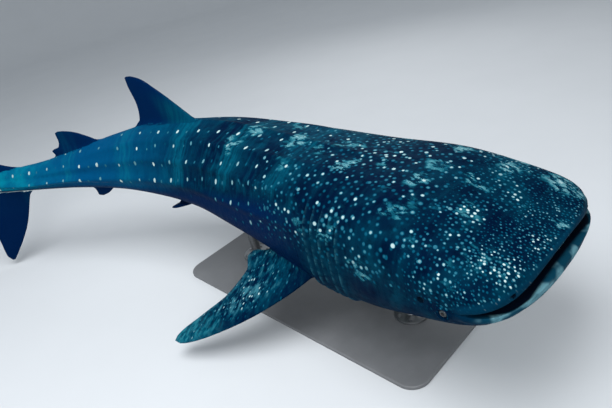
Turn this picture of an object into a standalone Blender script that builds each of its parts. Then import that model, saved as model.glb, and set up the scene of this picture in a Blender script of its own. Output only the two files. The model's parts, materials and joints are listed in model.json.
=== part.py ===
# Whale shark, life size: a still display model held level on two rods over a flat base.
# Metres, +Z up, +X towards the head, +Y to the animal's left. The floor is Z = 0, and the origin
# lies on it under the middle of the model.
#
# The body is first drawn straight: s runs back from the tip of the snout, y to the left and z up
# from the body's axis. The function bend then lays that drawing along the swimming curve.
import math

import bmesh
import bpy
import numpy as np

# Gap between faces that touch
GAP = 0.0003

# How high the body's axis is carried, and the place on it that the swimming curve is laid out from
AXIS_HEIGHT = 0.81
ORIGIN_S = 1.3

# Body stations: distance behind the snout, half width, back, belly, height of the widest line,
# and how square the section is above and below that line (2 is an ellipse)
BODY = [
    (0.00, 0.545, 0.105, -0.155, -0.020, 3.70, 2.60),
    (0.20, 0.555, 0.180, -0.218, -0.030, 3.60, 2.60),
    (0.45, 0.565, 0.255, -0.268, -0.040, 3.20, 2.80),
    (0.80, 0.550, 0.325, -0.380, -0.050, 3.05, 3.00),
    (1.20, 0.500, 0.345, -0.455, -0.060, 2.90, 3.00),
    (1.60, 0.475, 0.365, -0.405, -0.060, 2.75, 2.50),
    (2.10, 0.450, 0.395, -0.295, -0.050, 2.10, 2.30),
    (2.60, 0.385, 0.415, -0.228, -0.030, 2.00, 2.10),
    (3.10, 0.300, 0.408, -0.180, -0.020, 2.00, 2.10),
    (3.60, 0.215, 0.328, -0.142, -0.010, 2.00, 2.00),
    (4.10, 0.150, 0.210, -0.125, 0.000, 2.00, 2.00),
    (4.55, 0.115, 0.135, -0.105, 0.000, 2.00, 2.00),
    (4.90, 0.060, 0.120, -0.080, 0.010, 2.00, 2.00),
    (5.30, 0.012, 0.240, -0.020, 0.080, 2.00, 2.00),
]
HALF, BACK, BELLY, SIDE, SQUARE_ABOVE, SQUARE_BELOW = range(1, 7)

# The blunt snout: where its tip is, how far back it goes on rounding, in plan and in profile, and how
# squarely. The upper jaw closes in to one level at its tip and the lower jaw to another.
SNOUT_TIP = 0.036
SNOUT_PLAN = (0.31, 3.15)
SNOUT_SHARES = [0.25, 0.42, 0.58, 0.71, 0.81, 0.89, 0.94]
SNOUT_PROFILE = (0.68, 2.5)
JAW_PROFILE = (0.44, 2.5)
SNOUT_LEVEL = 0.075
JAW_LEVEL = -0.032

# The swimming curve: curvature to the right, and upward, at distances behind the snout
SIDE_CURVE = [(-0.5, 0.0), (1.5, 0.0), (2.6, 0.365), (3.6, 0.165), (4.5, 0.315), (5.5, 0.315), (7, 0)]
RISE_CURVE = [(-0.5, 0.0), (1.3, 0.005), (2.6, 0.005), (4.0, 0.013), (5.5, 0.013), (7.0, 0.0)]

# Long ridges of the flank, each side: distance, degrees above the widest line, height of the ridge.
# The lowest one grows into the keel of the tail stalk.
RIDGES = [
    [(1.2, 66, 0.0), (1.7, 63, 0.012), (2.6, 58, 0.014), (3.6, 53, 0.011), (4.3, 50, 0.0)],
    [(1.0, 42, 0.0), (1.6, 40, 0.012), (2.8, 34, 0.016), (4.0, 28, 0.011), (4.55, 26, 0.0)],
    [(1.2, 17, 0.0), (2.0, 15, 0.014), (3.2, 9, 0.02), (4.0, 4, 0.036), (4.6, 1, 0.06), (5.1, 0, 0.0)],
]
RIDGE_WIDTH = 0.028
BACK_RIDGE = [(0.7, 0.0), (1.2, 0.010), (2.6, 0.014), (2.9, 0.0)]

# Five gill slits a side, under flaps whose free rear edges stand proud
GILL_SLITS = [0.985, 1.057, 1.126, 1.191, 1.252]
GILL_SPACING = 0.070
GILL_FLAP_RISE = 0.016
GILL_SLIT_DEPTH = 0.018
GILL_REACH = [(-62, 0.0), (-46, 1.0), (24, 1.0), (42, 0.0)]

# The mouth: a wide slit right across the front, a little open, between two rounded lips, with the
# lower jaw pushed forward
MOUTH_LEVEL = 0.026
MOUTH_DROOP = 0.045
MOUTH_DEPTH = 0.25
MOUTH_OPEN = 0.046
MOUTH_CORNER_OPEN = 0.010
JAW_LENGTH = 0.28
JAW_PUSH = 0.026
LIP_ROUNDING = (0.045, 2.0)
LIP = [(0.012, 0.007), (0.027, 0.007), (0.046, 0.0)]
LIP_ROOM = 0.10
MOUTH_COLUMNS = 7

# Small things of the head: (distance, degrees above the widest line, size)
EYE = (0.335, -7.0, 0.024)
EYE_PROUD = 0.008
ORBIT_RING = (0.030, 0.009)
ORBIT_SUNK = 0.003
SPIRACLE = (0.445, 4.0, 0.016)
NOSTRIL_PLACE = 0.68
NOSTRIL_FLAP = (0.016, 0.024, 0.014)
NOSTRIL_GROOVE = (0.022, 0.010, 0.012)
NOSTRIL_APART = 0.030

# Where one node of the body ends and the next begins
HEAD_END = 0.84
FRONT_END = 2.15
REAR_END = 3.62
STALK_END = 4.64
CAUDAL_SPLIT = -0.02

# Upright fins: distance of the root, then the front and rear edges as (height, distance from the root)
FIRST_DORSAL = 2.71
FIRST_DORSAL_FRONT = [(-0.10, -0.12), (0.0, -0.04), (0.12, 0.095), (0.30, 0.305), (0.39, 0.43), (0.412, 0.50)]
FIRST_DORSAL_REAR = [(-0.10, 0.62), (-0.03, 0.645), (0.01, 0.635), (0.05, 0.57), (0.195, 0.54),
                     (0.35, 0.56), (0.402, 0.56), (0.412, 0.54)]
SECOND_DORSAL = 3.85
SECOND_DORSAL_FRONT = [(-0.10, -0.26), (0.0, -0.20), (0.05, -0.10), (0.125, 0.05), (0.165, 0.16),
                       (0.18, 0.25)]
SECOND_DORSAL_REAR = [(-0.10, 0.40), (-0.02, 0.43), (0.015, 0.435), (0.035, 0.36), (0.10, 0.33),
                      (0.165, 0.33), (0.18, 0.30)]
ANAL = 3.76
ANAL_FRONT = [(-0.08, -0.05), (0.0, 0.0), (0.05, 0.07), (0.095, 0.14), (0.115, 0.20)]
ANAL_REAR = [(-0.08, 0.30), (-0.02, 0.33), (0.010, 0.315), (0.03, 0.27), (0.07, 0.255), (0.105, 0.25),
             (0.115, 0.225)]

# Tail fin lobes: front and rear edges as (height, distance behind the snout)
CAUDAL_UPPER_FRONT = [(-0.02, 4.64), (0.10, 4.64), (0.20, 4.86), (0.45, 5.20), (0.85, 5.56), (1.15, 5.80),
                      (1.22, 5.88)]
CAUDAL_UPPER_REAR = [(-0.02, 5.30), (0.16, 5.36), (0.50, 5.58), (0.95, 5.82), (1.15, 5.915), (1.22, 5.905)]
CAUDAL_LOWER_FRONT = [(0.02, 4.64), (0.085, 4.64), (0.16, 4.69), (0.45, 4.86), (0.74, 5.085), (0.80, 5.14)]
CAUDAL_LOWER_REAR = [(0.02, 5.295), (0.08, 5.265), (0.30, 5.20), (0.55, 5.185), (0.74, 5.195), (0.80, 5.165)]

# Paired fins, drawn flat: front and rear edges as (reach outward, distance back from the root's
# front), both in parts of the reach
PECTORAL_ROOT = (1.33, 0.40, -0.30)
PECTORAL_REACH = 0.835
PECTORAL_FRONT = [(-0.12, -0.02), (0.0, 0.0), (0.12, 0.02), (0.45, 0.135), (0.80, 0.36), (0.97, 0.56),
                  (1.0, 0.63)]
PECTORAL_REAR = [(-0.12, 0.50), (-0.02, 0.56), (0.03, 0.71), (0.08, 0.72), (0.22, 0.60), (0.45, 0.575),
                 (0.72, 0.655), (0.95, 0.74), (1.0, 0.72)]
PECTORAL_DROOP = 28.0
PECTORAL_SWEEP = 17.0
PELVIC_ROOT = (2.72, 0.16, -0.185)
PELVIC_REACH = 0.20
PELVIC_FRONT = [(-0.5, -0.10), (0.0, 0.0), (0.5, 0.12), (0.9, 0.30), (1.0, 0.42)]
PELVIC_REAR = [(-0.5, 0.95), (0.0, 1.0), (0.25, 1.02), (0.45, 0.88), (0.88, 0.72), (1.0, 0.58)]
PELVIC_DROOP = 4.0
PELVIC_SWEEP = 44.0

# The display stand: plate, and the places of the two rods along the body
PLATE_LENGTH, PLATE_WIDTH, PLATE_THICKNESS, PLATE_CORNER = 2.30, 1.00, 0.025, 0.12
ROD_RADIUS = 0.038
ROD_PLACES = {"front": 0.98, "rear": 2.50}
FLANGE_RADIUS, FLANGE_THICKNESS = 0.115, 0.014
COLLAR_RADIUS, COLLAR_LENGTH, COLLAR_SINK = 0.062, 0.085, 0.10

COLOURS = {
    "skin": ((0.035, 0.085, 0.115), 0.45, 0.0),
    "fin": ((0.025, 0.06, 0.085), 0.45, 0.0),
    "eye": ((0.01, 0.01, 0.012), 0.08, 0.0),
    "plate": ((0.05, 0.05, 0.055), 0.5, 0.0),
    "steel": ((0.55, 0.56, 0.58), 0.3, 1.0),
}

for old in list(bpy.data.objects):
    bpy.data.objects.remove(old, do_unlink=True)


def smooth_through(points, x):
    """Value at x of a smooth curve through (x, value) points that never overshoots them."""
    xs, ys = np.array(points, float).T
    x = np.clip(np.asarray(x, float), xs[0], xs[-1])
    step = np.diff(xs)
    slope = np.diff(ys) / step
    tangent = np.concatenate([slope[:1], np.zeros(len(slope) - 1), slope[-1:]])
    same = slope[:-1] * slope[1:] > 0
    near, far = 2 * step[1:] + step[:-1], step[1:] + 2 * step[:-1]
    before, after = slope[:-1][same], slope[1:][same]
    tangent[1:-1][same] = (near + far)[same] / (near[same] / before + far[same] / after)
    i = np.clip(np.searchsorted(xs, x, side="right") - 1, 0, len(step) - 1)
    t = (x - xs[i]) / step[i]
    start = (1 + 2 * t) * (1 - t) ** 2 * ys[i] + t * (1 - t) ** 2 * step[i] * tangent[i]
    end = t * t * (3 - 2 * t) * ys[i + 1] + t * t * (t - 1) * step[i] * tangent[i + 1]
    return start + end


def station(column, s):
    """One of the body's measures at a distance behind the snout."""
    return smooth_through([(row[0], row[column]) for row in BODY], s)


def rounding(s, reach, power):
    """From 0 at the tip of the snout to 1 behind its rounded front."""
    left = np.clip(1 - (np.asarray(s, float) - SNOUT_TIP) / reach, 0, 1)
    return (1 - left**power) ** (1 / power)


def section(s, angle):
    """Point (y, z) of the plain body at a distance and an angle, which is 0 at the left, 90 at the back."""
    across, up = np.cos(angle), np.sin(angle)
    square = np.where(up >= 0, station(SQUARE_ABOVE, s), station(SQUARE_BELOW, s))
    reach = (np.abs(across) ** square + np.abs(up) ** square) ** (-1 / square)
    back = SNOUT_LEVEL + (station(BACK, s) - SNOUT_LEVEL) * rounding(s, *SNOUT_PROFILE)
    belly = JAW_LEVEL + (station(BELLY, s) - JAW_LEVEL) * rounding(s, *JAW_PROFILE)
    side = MOUTH_LEVEL + (station(SIDE, s) - MOUTH_LEVEL) * rounding(s, *SNOUT_PROFILE)
    y = station(HALF, s) * rounding(s, *SNOUT_PLAN) * reach * across
    z = side + np.where(up >= 0, back - side, side - belly) * reach * up
    return y, z


def lift_of(angle):
    """Degrees above the widest line, the same on both sides."""
    return np.degrees(np.arctan2(np.sin(angle), np.abs(np.cos(angle))))


def ridges(s, angle):
    """Height of the long ridges, with the one along the back before the first dorsal fin."""
    lift = lift_of(angle)
    size = np.sqrt(station(HALF, s) * (station(BACK, s) - station(BELLY, s)) / 2)
    rise = smooth_through(BACK_RIDGE, s) * np.exp(-(((90 - lift) * size / 57.3 / RIDGE_WIDTH) ** 2))
    for ridge in RIDGES:
        centre = smooth_through([(row[0], row[1]) for row in ridge], s)
        height = smooth_through([(row[0], row[2]) for row in ridge], s)
        width = RIDGE_WIDTH * (0.6 + 0.4 * np.clip(size / 0.4, 0, 1))
        rise = rise + height * np.exp(-(((lift - centre) * size / 57.3 / width) ** 2))
    return rise


def gills(s, angle):
    """Flaps that rise towards their rear edge, each with a slit cut in behind it."""
    reach = smooth_through(GILL_REACH, lift_of(angle))
    rise = 0.0 * s
    for slit in GILL_SLITS:
        along = np.clip((s - slit + GILL_SPACING) / GILL_SPACING, 0, 1)
        behind = s - slit
        flap = np.where(behind <= 0, GILL_FLAP_RISE * along**2, 0.0)
        cut = np.where(behind > 0, -GILL_SLIT_DEPTH * np.clip(1 - behind / 0.022, 0, 1), 0.0)
        rise = rise + flap + cut
    return rise * reach


def skin(s, angle, out=0.0):
    """Point (y, z) of the finished body, raised along its own surface by its ridges, flaps and by out."""
    y, z = section(s, angle)
    nudge = 0.002
    y_after, z_after = section(s, angle + nudge)
    y_before, z_before = section(s, angle - nudge)
    along_y, along_z = y_after - y_before, z_after - z_before
    length = np.hypot(along_y, along_z) + 1e-12
    rise = ridges(s, angle) + gills(s, angle) + out
    return y + along_z / length * rise, z - along_y / length * rise


def swimming_curve():
    """The axis as points, and its heading to the right and upward, every centimetre."""
    s = np.linspace(-0.5, 7.0, 751)
    step = s[1] - s[0]
    turned = []
    for curve in (SIDE_CURVE, RISE_CURVE):
        bend_here = smooth_through(curve, s)
        total = np.concatenate([[0], np.cumsum((bend_here[1:] + bend_here[:-1]) / 2 * step)])
        turned.append(total - np.interp(ORIGIN_S, s, total))
    heading, rise = turned
    back = -np.stack([np.cos(heading) * np.cos(rise), np.sin(heading) * np.cos(rise), -np.sin(rise)], 1)
    points = np.concatenate([[[0, 0, 0]], np.cumsum((back[1:] + back[:-1]) / 2 * step, axis=0)])
    start = [np.interp(ORIGIN_S, s, points[:, i]) for i in range(3)]
    return s, points - start, heading, rise


CURVE = swimming_curve()


def bend(points):
    """Lays points drawn straight, as (s, y, z), along the swimming curve."""
    s, y, z = np.asarray(points, float).T
    table, axis, heading, rise = CURVE
    place = np.stack([np.interp(s, table, axis[:, i]) for i in range(3)], 1)
    head, up = np.interp(s, table, heading), np.interp(s, table, rise)
    left = np.stack([-np.sin(head), np.cos(head), 0 * head], 1)
    ahead = np.stack([np.cos(head) * np.cos(up), np.sin(head) * np.cos(up), -np.sin(up)], 1)
    above = np.cross(ahead, left)
    placed = place + y[:, None] * left + z[:, None] * above
    placed[:, 2] += AXIS_HEIGHT
    return placed


def material(name):
    """Principled material of one of the named finishes."""
    found = bpy.data.materials.get(name)
    if found:
        return found
    colour, rough, metal = COLOURS[name]
    made = bpy.data.materials.new(name)
    made.use_nodes = True
    shader = made.node_tree.nodes["Principled BSDF"]
    shader.inputs["Base Color"].default_value = (*colour, 1)
    shader.inputs["Roughness"].default_value = rough
    shader.inputs["Metallic"].default_value = metal
    made.diffuse_color = (*colour, 1)
    return made


def solid(name, points, faces, finish="skin"):
    """Object from points and faces, its faces turned outward."""
    mesh = bpy.data.meshes.new(name)
    mesh.from_pydata([tuple(p) for p in points], [], [tuple(f) for f in faces])
    shape = bmesh.new()
    shape.from_mesh(mesh)
    bmesh.ops.remove_doubles(shape, verts=shape.verts, dist=0.00001)
    bmesh.ops.recalc_face_normals(shape, faces=shape.faces)
    if shape.calc_volume(signed=True) < 0:
        bmesh.ops.reverse_faces(shape, faces=shape.faces)
    shape.to_mesh(mesh)
    shape.free()
    mesh.materials.append(material(finish))
    made = bpy.data.objects.new(name, mesh)
    bpy.context.scene.collection.objects.link(made)
    return made


def lofted(rings):
    """Points and faces of a closed skin over rings of equal count, with a flat face at both ends."""
    count = len(rings[0])
    points = [p for ring in rings for p in ring]
    faces = []
    for i in range(len(rings) - 1):
        for j in range(count):
            a, b = i * count + j, i * count + (j + 1) % count
            c, d = b + count, a + count
            faces += [(a, b, c), (a, c, d)]
    last = (len(rings) - 1) * count
    return points, [*faces, range(count), range(last, last + count)]


def flank_lifts(s):
    """Degrees above the widest line of one side's columns, belly to back, with three on each ridge."""
    size = np.sqrt(station(HALF, s) * (station(BACK, s) - station(BELLY, s)) / 2)
    foot = float(np.degrees(1.5 * RIDGE_WIDTH / np.maximum(size, 0.14)))
    crests = [float(smooth_through([(row[0], row[1]) for row in ridge], s)) for ridge in RIDGES]
    lifts = [90.0, 90.0 - foot]
    for crest in crests:
        lifts += [(lifts[-1] + crest + foot) / 2, crest + foot, crest, crest - foot]
    low = lifts[-1]
    lifts += [low + (-90 - low) * k / MOUTH_COLUMNS for k in range(1, MOUTH_COLUMNS + 1)]
    return np.array(lifts[::-1])


def lift_at(s, height):
    """Degrees above the widest line at which the side of the body has a height."""
    lifts = np.linspace(-88, 88, 353)
    _, z = section(np.full(len(lifts), s), np.radians(lifts))
    return float(np.interp(height, z, lifts))


def mouth_height(s, y):
    """Height of the middle of the mouth slit: it droops towards its corners."""
    return MOUTH_LEVEL - MOUTH_DROOP * (np.abs(y) / 0.5) ** 2


def mouth_edge(s, place, side):
    """Height of one edge of the slit on the flank: side is 1 for the upper lip and -1 for the lower."""
    y, _ = section(np.array([s]), np.array([0.0]))
    along = max(place - SNOUT_TIP, 0.0) / (MOUTH_DEPTH - SNOUT_TIP)
    half = (MOUTH_OPEN + (MOUTH_CORNER_OPEN - MOUTH_OPEN) * along) / 2
    if place > MOUTH_DEPTH:
        half = GAP / 2
    level = SNOUT_LEVEL if side > 0 else JAW_LEVEL
    edge = float(mouth_height(place, y[0])) + side * half
    return level + (edge - level) * float(rounding(s, *LIP_ROUNDING))


def lip_share(s, edge, side):
    """How much of its full size the lip has where the snout closes in towards its tip."""
    _, z = section(np.array([s]), np.radians([90.0 * side]))
    return min(1.0, side * (float(z[0]) - edge) / LIP_ROOM)


def outer_lifts(s, edge, side):
    """Lifts of the columns from an edge of the mouth over its lip and on to the back or the belly."""
    lifts = [lift_at(s, edge)] + [lift_at(s, edge + side * away * lip_share(s, edge, side)) for away, _ in LIP]
    count = len(flank_lifts(s)) - MOUTH_COLUMNS - len(lifts)
    last = lifts[-1]
    return lifts + [last + (90.0 * side - last) * k / count for k in range(1, count + 1)]


def jaw_side(s, place, side):
    """One side's points, belly to back, of a jaw: its outer skin and lip, then its face on the mouth."""
    round_off = float(rounding(s, *LIP_ROUNDING))
    edge = mouth_edge(s, place, side)
    lifts = outer_lifts(s, edge, side)
    fade = lip_share(s, edge, side) * min(1.0, max(0.0, (JAW_LENGTH - s) / 0.08))
    rises = np.zeros(len(lifts))
    rises[1:1 + len(LIP)] = [rise * fade for _, rise in LIP]
    y, z = skin(np.full(len(lifts), s), np.radians(lifts), out=rises)
    inner = []
    for k in range(MOUTH_COLUMNS):
        y_here = y[0] * k / MOUTH_COLUMNS
        arch = float(mouth_height(place, y_here) - mouth_height(place, y[0])) * round_off
        inner.append((y_here, z[0] + arch))
    points = inner + list(zip(y, z))
    return np.array(points if side > 0 else points[::-1])


def flank_side(s, out=0.0):
    """One side's points, belly to back, of a whole section; behind the mouth its columns ease back to even."""
    lifts = flank_lifts(s)
    ease = min(1.0, max(0.0, (s - JAW_LENGTH) / 0.25))
    if ease < 1.0:
        above = outer_lifts(s, mouth_edge(s, s, 1), 1)
        below = [-90 + (above[0] + 90) * k / MOUTH_COLUMNS for k in range(MOUTH_COLUMNS)]
        lifts = ease * lifts + (1 - ease) * np.array(below + above)
    y, z = skin(np.full(len(lifts), s), np.radians(lifts), out=out)
    return np.stack([y, z], 1)


def ring(side_points, place):
    """Both sides of a section as bent points, from the middle of the belly up the left side and down the right."""
    left = np.array(side_points)
    left[0, 0] = left[-1, 0] = 0.0
    right = left[-2:0:-1] * (-1, 1)
    both = np.concatenate([left, right])
    return bend(np.column_stack([np.full(len(both), place), both]))


def snout_place(share):
    """Distance at which the snout has a share of its full half width."""
    reach, power = SNOUT_PLAN
    return SNOUT_TIP + float(reach * (1 - (1 - share**power) ** (1 / power)))


def snout_stations():
    """Distances of the snout's rings, even steps of its half width."""
    return [snout_place(share) for share in SNOUT_SHARES]


def body_stations(start, end):
    """Distances of the rings between two ends: close at the gills, wider along the trunk."""
    places = list(np.arange(0.20, HEAD_END, 0.06)) + [0.90] + list(np.arange(1.36, 4.6, 0.11))
    for slit in GILL_SLITS:
        places += [slit - 0.036, slit - 0.001, slit + 0.003, slit + 0.022]
    inner = [s for s in sorted(places) if start + 0.012 < s < end - 0.012]
    return [start, *inner, end]


def body_part(name, start, end):
    """A length of the body between two flat faces."""
    places = body_stations(start + GAP / 2, end - GAP / 2)
    return solid(name, *lofted([ring(flank_side(s), s) for s in places]))


def boolean(target, others, how, solver="EXACT"):
    """Joins or cuts a target with the others, which are then removed, and keeps its largest closed surface."""
    group = bpy.data.collections.new("others")
    bpy.context.scene.collection.children.link(group)
    for other in others:
        group.objects.link(other)
    change = target.modifiers.new(how, "BOOLEAN")
    change.operation = how
    change.solver = solver
    change.operand_type = "COLLECTION"
    change.collection = group
    found = bpy.context.evaluated_depsgraph_get()
    mesh = bpy.data.meshes.new_from_object(target.evaluated_get(found))
    target.modifiers.remove(change)
    target.data = mesh
    for other in others:
        bpy.data.objects.remove(other, do_unlink=True)
    bpy.data.collections.remove(group)
    keep_largest(target)
    return target


def keep_largest(target):
    """Drops every loose surface but the one with the largest volume."""
    shape = bmesh.new()
    shape.from_mesh(target.data)
    bmesh.ops.triangulate(shape, faces=shape.faces)
    left, groups = set(shape.verts), []
    while left:
        edge = [left.pop()]
        group = set(edge)
        while edge:
            for link in edge.pop().link_edges:
                for vert in link.verts:
                    if vert in left:
                        left.discard(vert)
                        group.add(vert)
                        edge.append(vert)
        groups.append(group)
    if len(groups) > 1:
        def volume(group):
            faces = {face for vert in group for face in vert.link_faces}
            corners = [[np.array(v.co) for v in face.verts] for face in faces]
            return abs(sum(float(np.dot(a, np.cross(b, c))) for a, b, c in corners))

        groups.sort(key=volume)
        loose = [vert for group in groups[:-1] for vert in group]
        bmesh.ops.delete(shape, geom=loose, context="VERTS")
    bmesh.ops.dissolve_degenerate(shape, dist=0.00005, edges=shape.edges)
    bmesh.ops.dissolve_limit(shape, angle_limit=0.001, verts=shape.verts, edges=shape.edges)
    bmesh.ops.triangulate(shape, faces=shape.faces)
    shape.to_mesh(target.data)
    shape.free()


def body_cutter():
    """The body behind the mouth, a gap's width larger, for cutting what grows from it flush."""
    places = body_stations(JAW_LENGTH + 0.02, STALK_END)
    return solid("cutter", *lofted([ring(flank_side(s, out=GAP), s) for s in places]))


def oval(name, centre, radii, finish="skin", rows=8, columns=12):
    """Rounded lump with its own three radii, drawn straight and bent with the body."""
    shape = bmesh.new()
    bmesh.ops.create_uvsphere(shape, u_segments=columns, v_segments=rows, radius=1.0)
    points = np.array([vert.co for vert in shape.verts]) * radii + centre
    faces = [[vert.index for vert in face.verts] for face in shape.faces]
    shape.free()
    return solid(name, bend(points), faces, finish)


def on_skin(s, lift, side=1, out=0.0):
    """Straight-drawn point of the body at degrees above the widest line, on the left (1) or right (-1)."""
    angle = math.radians(lift if side > 0 else 180 - lift)
    y, z = skin(np.array([s]), np.array([angle]), out)
    return np.array([s, y[0], z[0]])


def orbit(name, side):
    """Raised ring of skin round the eye."""
    centre = on_skin(*EYE[:2], side, out=-ORBIT_SUNK)
    ring_radius, roll = ORBIT_RING
    rings = []
    for turn in np.linspace(0, 2 * np.pi, 21)[:-1]:
        out = np.array([math.cos(turn), 0.0, math.sin(turn)])
        spine = centre + ring_radius * out
        rings.append([spine + roll * (math.cos(t) * out + math.sin(t) * np.array([0, side, 0]))
                      for t in np.linspace(0, 2 * np.pi, 9)[:-1]])
    count = len(rings[0])
    points = bend(np.array([p for one in rings for p in one]))
    faces = []
    for i in range(len(rings)):
        after = (i + 1) % len(rings)
        for j in range(count):
            a, b = i * count + j, i * count + (j + 1) % count
            c, d = after * count + (j + 1) % count, after * count + j
            faces += [(a, b, c), (a, c, d)]
    return solid(name, points, faces)


def eye_centre(side):
    """Centre of the eyeball, drawn straight."""
    s, lift, size = EYE
    return on_skin(s, lift, side, out=EYE_PROUD - size)


def nostril_centre(side):
    """On the front of the upper lip, part of the way out to its corner."""
    s = snout_place(NOSTRIL_PLACE)
    y = side * NOSTRIL_PLACE * float(station(HALF, s))
    return np.array([s + 0.006, y, mouth_edge(s, s, 1) + 0.014])


def make_head():
    """Head with its upper lip, nostrils, eye sockets and spiracles, the lower jaw and the eyes."""
    front = [SNOUT_TIP + 0.0004, *snout_stations(), 0.20, MOUTH_DEPTH, MOUTH_DEPTH + 0.002, JAW_LENGTH]
    rings = [ring(jaw_side(s, s, 1), s) for s in front]
    rings += [ring(flank_side(s), s) for s in body_stations(JAW_LENGTH, HEAD_END - GAP / 2)]
    head = solid("head", *lofted(rings))
    raised = [orbit("orbit_l", 1), orbit("orbit_r", -1)]
    raised += [oval("flap", nostril_centre(side), NOSTRIL_FLAP) for side in (1, -1)]
    boolean(head, raised, "UNION")
    cuts = []
    for side in (1, -1):
        socket = EYE[2] + GAP
        cuts.append(oval("socket", eye_centre(side), (socket, socket, socket), rows=12, columns=16))
        size = SPIRACLE[2]
        hole = on_skin(*SPIRACLE[:2], side)
        cuts.append(oval("spiracle", hole, (size, size, size), rows=6, columns=8))
        groove = nostril_centre(side) + (0.0, side * NOSTRIL_APART, 0.0)
        cuts.append(oval("nostril", groove, NOSTRIL_GROOVE))
    boolean(head, cuts, "DIFFERENCE")

    def pushed(s):
        return s - JAW_PUSH * (1 - s / (JAW_LENGTH - GAP))

    stations = [*front[:-1], JAW_LENGTH - GAP]
    solid("lower_jaw", *lofted([ring(jaw_side(s, pushed(s), -1), pushed(s)) for s in stations]))
    for side, name in ((1, "eye_left"), (-1, "eye_right")):
        size = EYE[2]
        oval(name, eye_centre(side), (size, size, size), finish="eye", rows=12, columns=16)


def blade_rows(heights, front, rear, thickness, columns):
    """Grid of (height, distance, half thickness) over a fin, from its front edge to its rear edge."""
    rows = []
    for h in heights:
        start, end = float(smooth_through(front, h)), float(smooth_through(rear, h))
        share = np.linspace(0, 1, columns) ** 1.3
        along = start + (end - start) * share
        rows.append([(h, s, thickness(h, s, c)) for s, c in zip(along, share)])
    return rows


def blade_shape(share):
    """Thickness across a fin, from its round front edge to its thin rear edge, 1 at its thickest."""
    return 2.6 * np.sqrt(share + 0.004) * (1 - share)


def blade(name, rows, place, finish="fin"):
    """Closed fin from rows of (height, distance, half thickness), both faces split alike."""
    columns = len(rows[0])
    near = [(h, s, w) for row in rows for h, s, w in row]
    far = [(h, s, -w) for row in rows for h, s, w in row]
    points = bend(place(np.array(near + far)))
    back = len(near)
    faces = []
    for i in range(len(rows) - 1):
        for j in range(columns - 1):
            a = i * columns + j
            b, c, d = a + 1, a + columns + 1, a + columns
            faces += [(a, b, c), (a, c, d)]
            faces += [(a + back, c + back, b + back), (a + back, d + back, c + back)]
        for j in (0, columns - 1):
            a, d = i * columns + j, (i + 1) * columns + j
            faces += [(a, d, d + back), (a, d + back, a + back)]
    for i in (0, len(rows) - 1):
        for j in range(columns - 1):
            a = i * columns + j
            faces += [(a, a + 1, a + 1 + back), (a, a + 1 + back, a + back)]
    return solid(name, points, faces, finish)


def upright(root, sign, level):
    """Places a fin that stands in the middle plane: its height is counted from a level of the body."""
    def place(rows):
        h, s, w = rows.T
        return np.stack([s + root, w, level + sign * h], 1)
    return place


def paired(root, reach, droop, sweep, side):
    """Places a fin drawn flat at its root on one flank, drooped and swept back."""
    def place(rows):
        u, v, w = rows.T
        out, back = u * reach, v * reach
        turn, fall = math.radians(sweep), math.radians(droop)
        out, back = out * math.cos(turn), back + out * math.sin(turn)
        y = out * math.cos(fall) + w * math.sin(fall)
        z = -out * math.sin(fall) + w * math.cos(fall)
        return np.stack([root[0] + back, side * (root[1] + y), root[2] + z], 1)
    return place


def heights(low, high, count):
    """Rows of a fin, closer together towards its tip."""
    share = np.linspace(0, 1, count)
    return low + (high - low) * (1 - (1 - share) ** 1.25)


def fin_thickness(root, tip, flare, flare_reach, high, edge=0.0025):
    """Half thickness of a fin that thins towards its tip and flares into the body at its root."""
    def thickness(h, s, share):
        plain = (root + (tip - root) * max(h, 0) / high) * blade_shape(share)
        spread = flare * math.exp(-max(h, 0) / flare_reach) * (1 - 0.7 * share)
        return max(plain + spread * min(1.0, 8 * share + 0.25), edge) / 2
    return thickness


def make_fins():
    """Every fin but the tail's, each cut flush to the body."""
    above = [
        ("first_dorsal_fin", FIRST_DORSAL, FIRST_DORSAL_FRONT, FIRST_DORSAL_REAR, 0.060, 13, 9),
        ("second_dorsal_fin", SECOND_DORSAL, SECOND_DORSAL_FRONT, SECOND_DORSAL_REAR, 0.034, 9, 8),
        ("anal_fin", ANAL, ANAL_FRONT, ANAL_REAR, 0.030, 8, 7),
    ]
    levels = [
        float(station(BACK, FIRST_DORSAL)) - 0.03,
        float(station(BACK, SECOND_DORSAL + 0.15)) - 0.005,
        float(station(BELLY, ANAL + 0.15)) + 0.005,
    ]
    fins = []
    for (name, root, front, rear, thick, count, columns), level in zip(above, levels):
        low, high = front[0][0], front[-1][0]
        thickness = fin_thickness(thick, 0.010, 1.2 * thick, high / 8, high)
        rows = blade_rows(heights(low, high, count), front, rear, thickness, columns)
        fins.append(blade(name, rows, upright(root, 1 if level > 0 else -1, level)))
    pairs = [
        ("pectoral_fin", PECTORAL_ROOT, PECTORAL_REACH, PECTORAL_FRONT, PECTORAL_REAR, 0.072, 17, 9,
         PECTORAL_DROOP, PECTORAL_SWEEP),
        ("pelvic_fin", PELVIC_ROOT, PELVIC_REACH, PELVIC_FRONT, PELVIC_REAR, 0.028, 9, 7,
         PELVIC_DROOP, PELVIC_SWEEP),
    ]
    for name, root, reach, front, rear, thick, count, columns, droop, sweep in pairs:
        thickness = fin_thickness(thick, 0.010, thick, 0.075, 1.0)
        rows = blade_rows(heights(front[0][0], 1.0, count), front, rear, thickness, columns)
        for side, word in ((1, "left"), (-1, "right")):
            fins.append(blade(f"{name}_{word}", rows, paired(root, reach, droop, sweep, side)))
    for fin in fins:
        boolean(fin, [body_cutter()], "DIFFERENCE")


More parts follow.
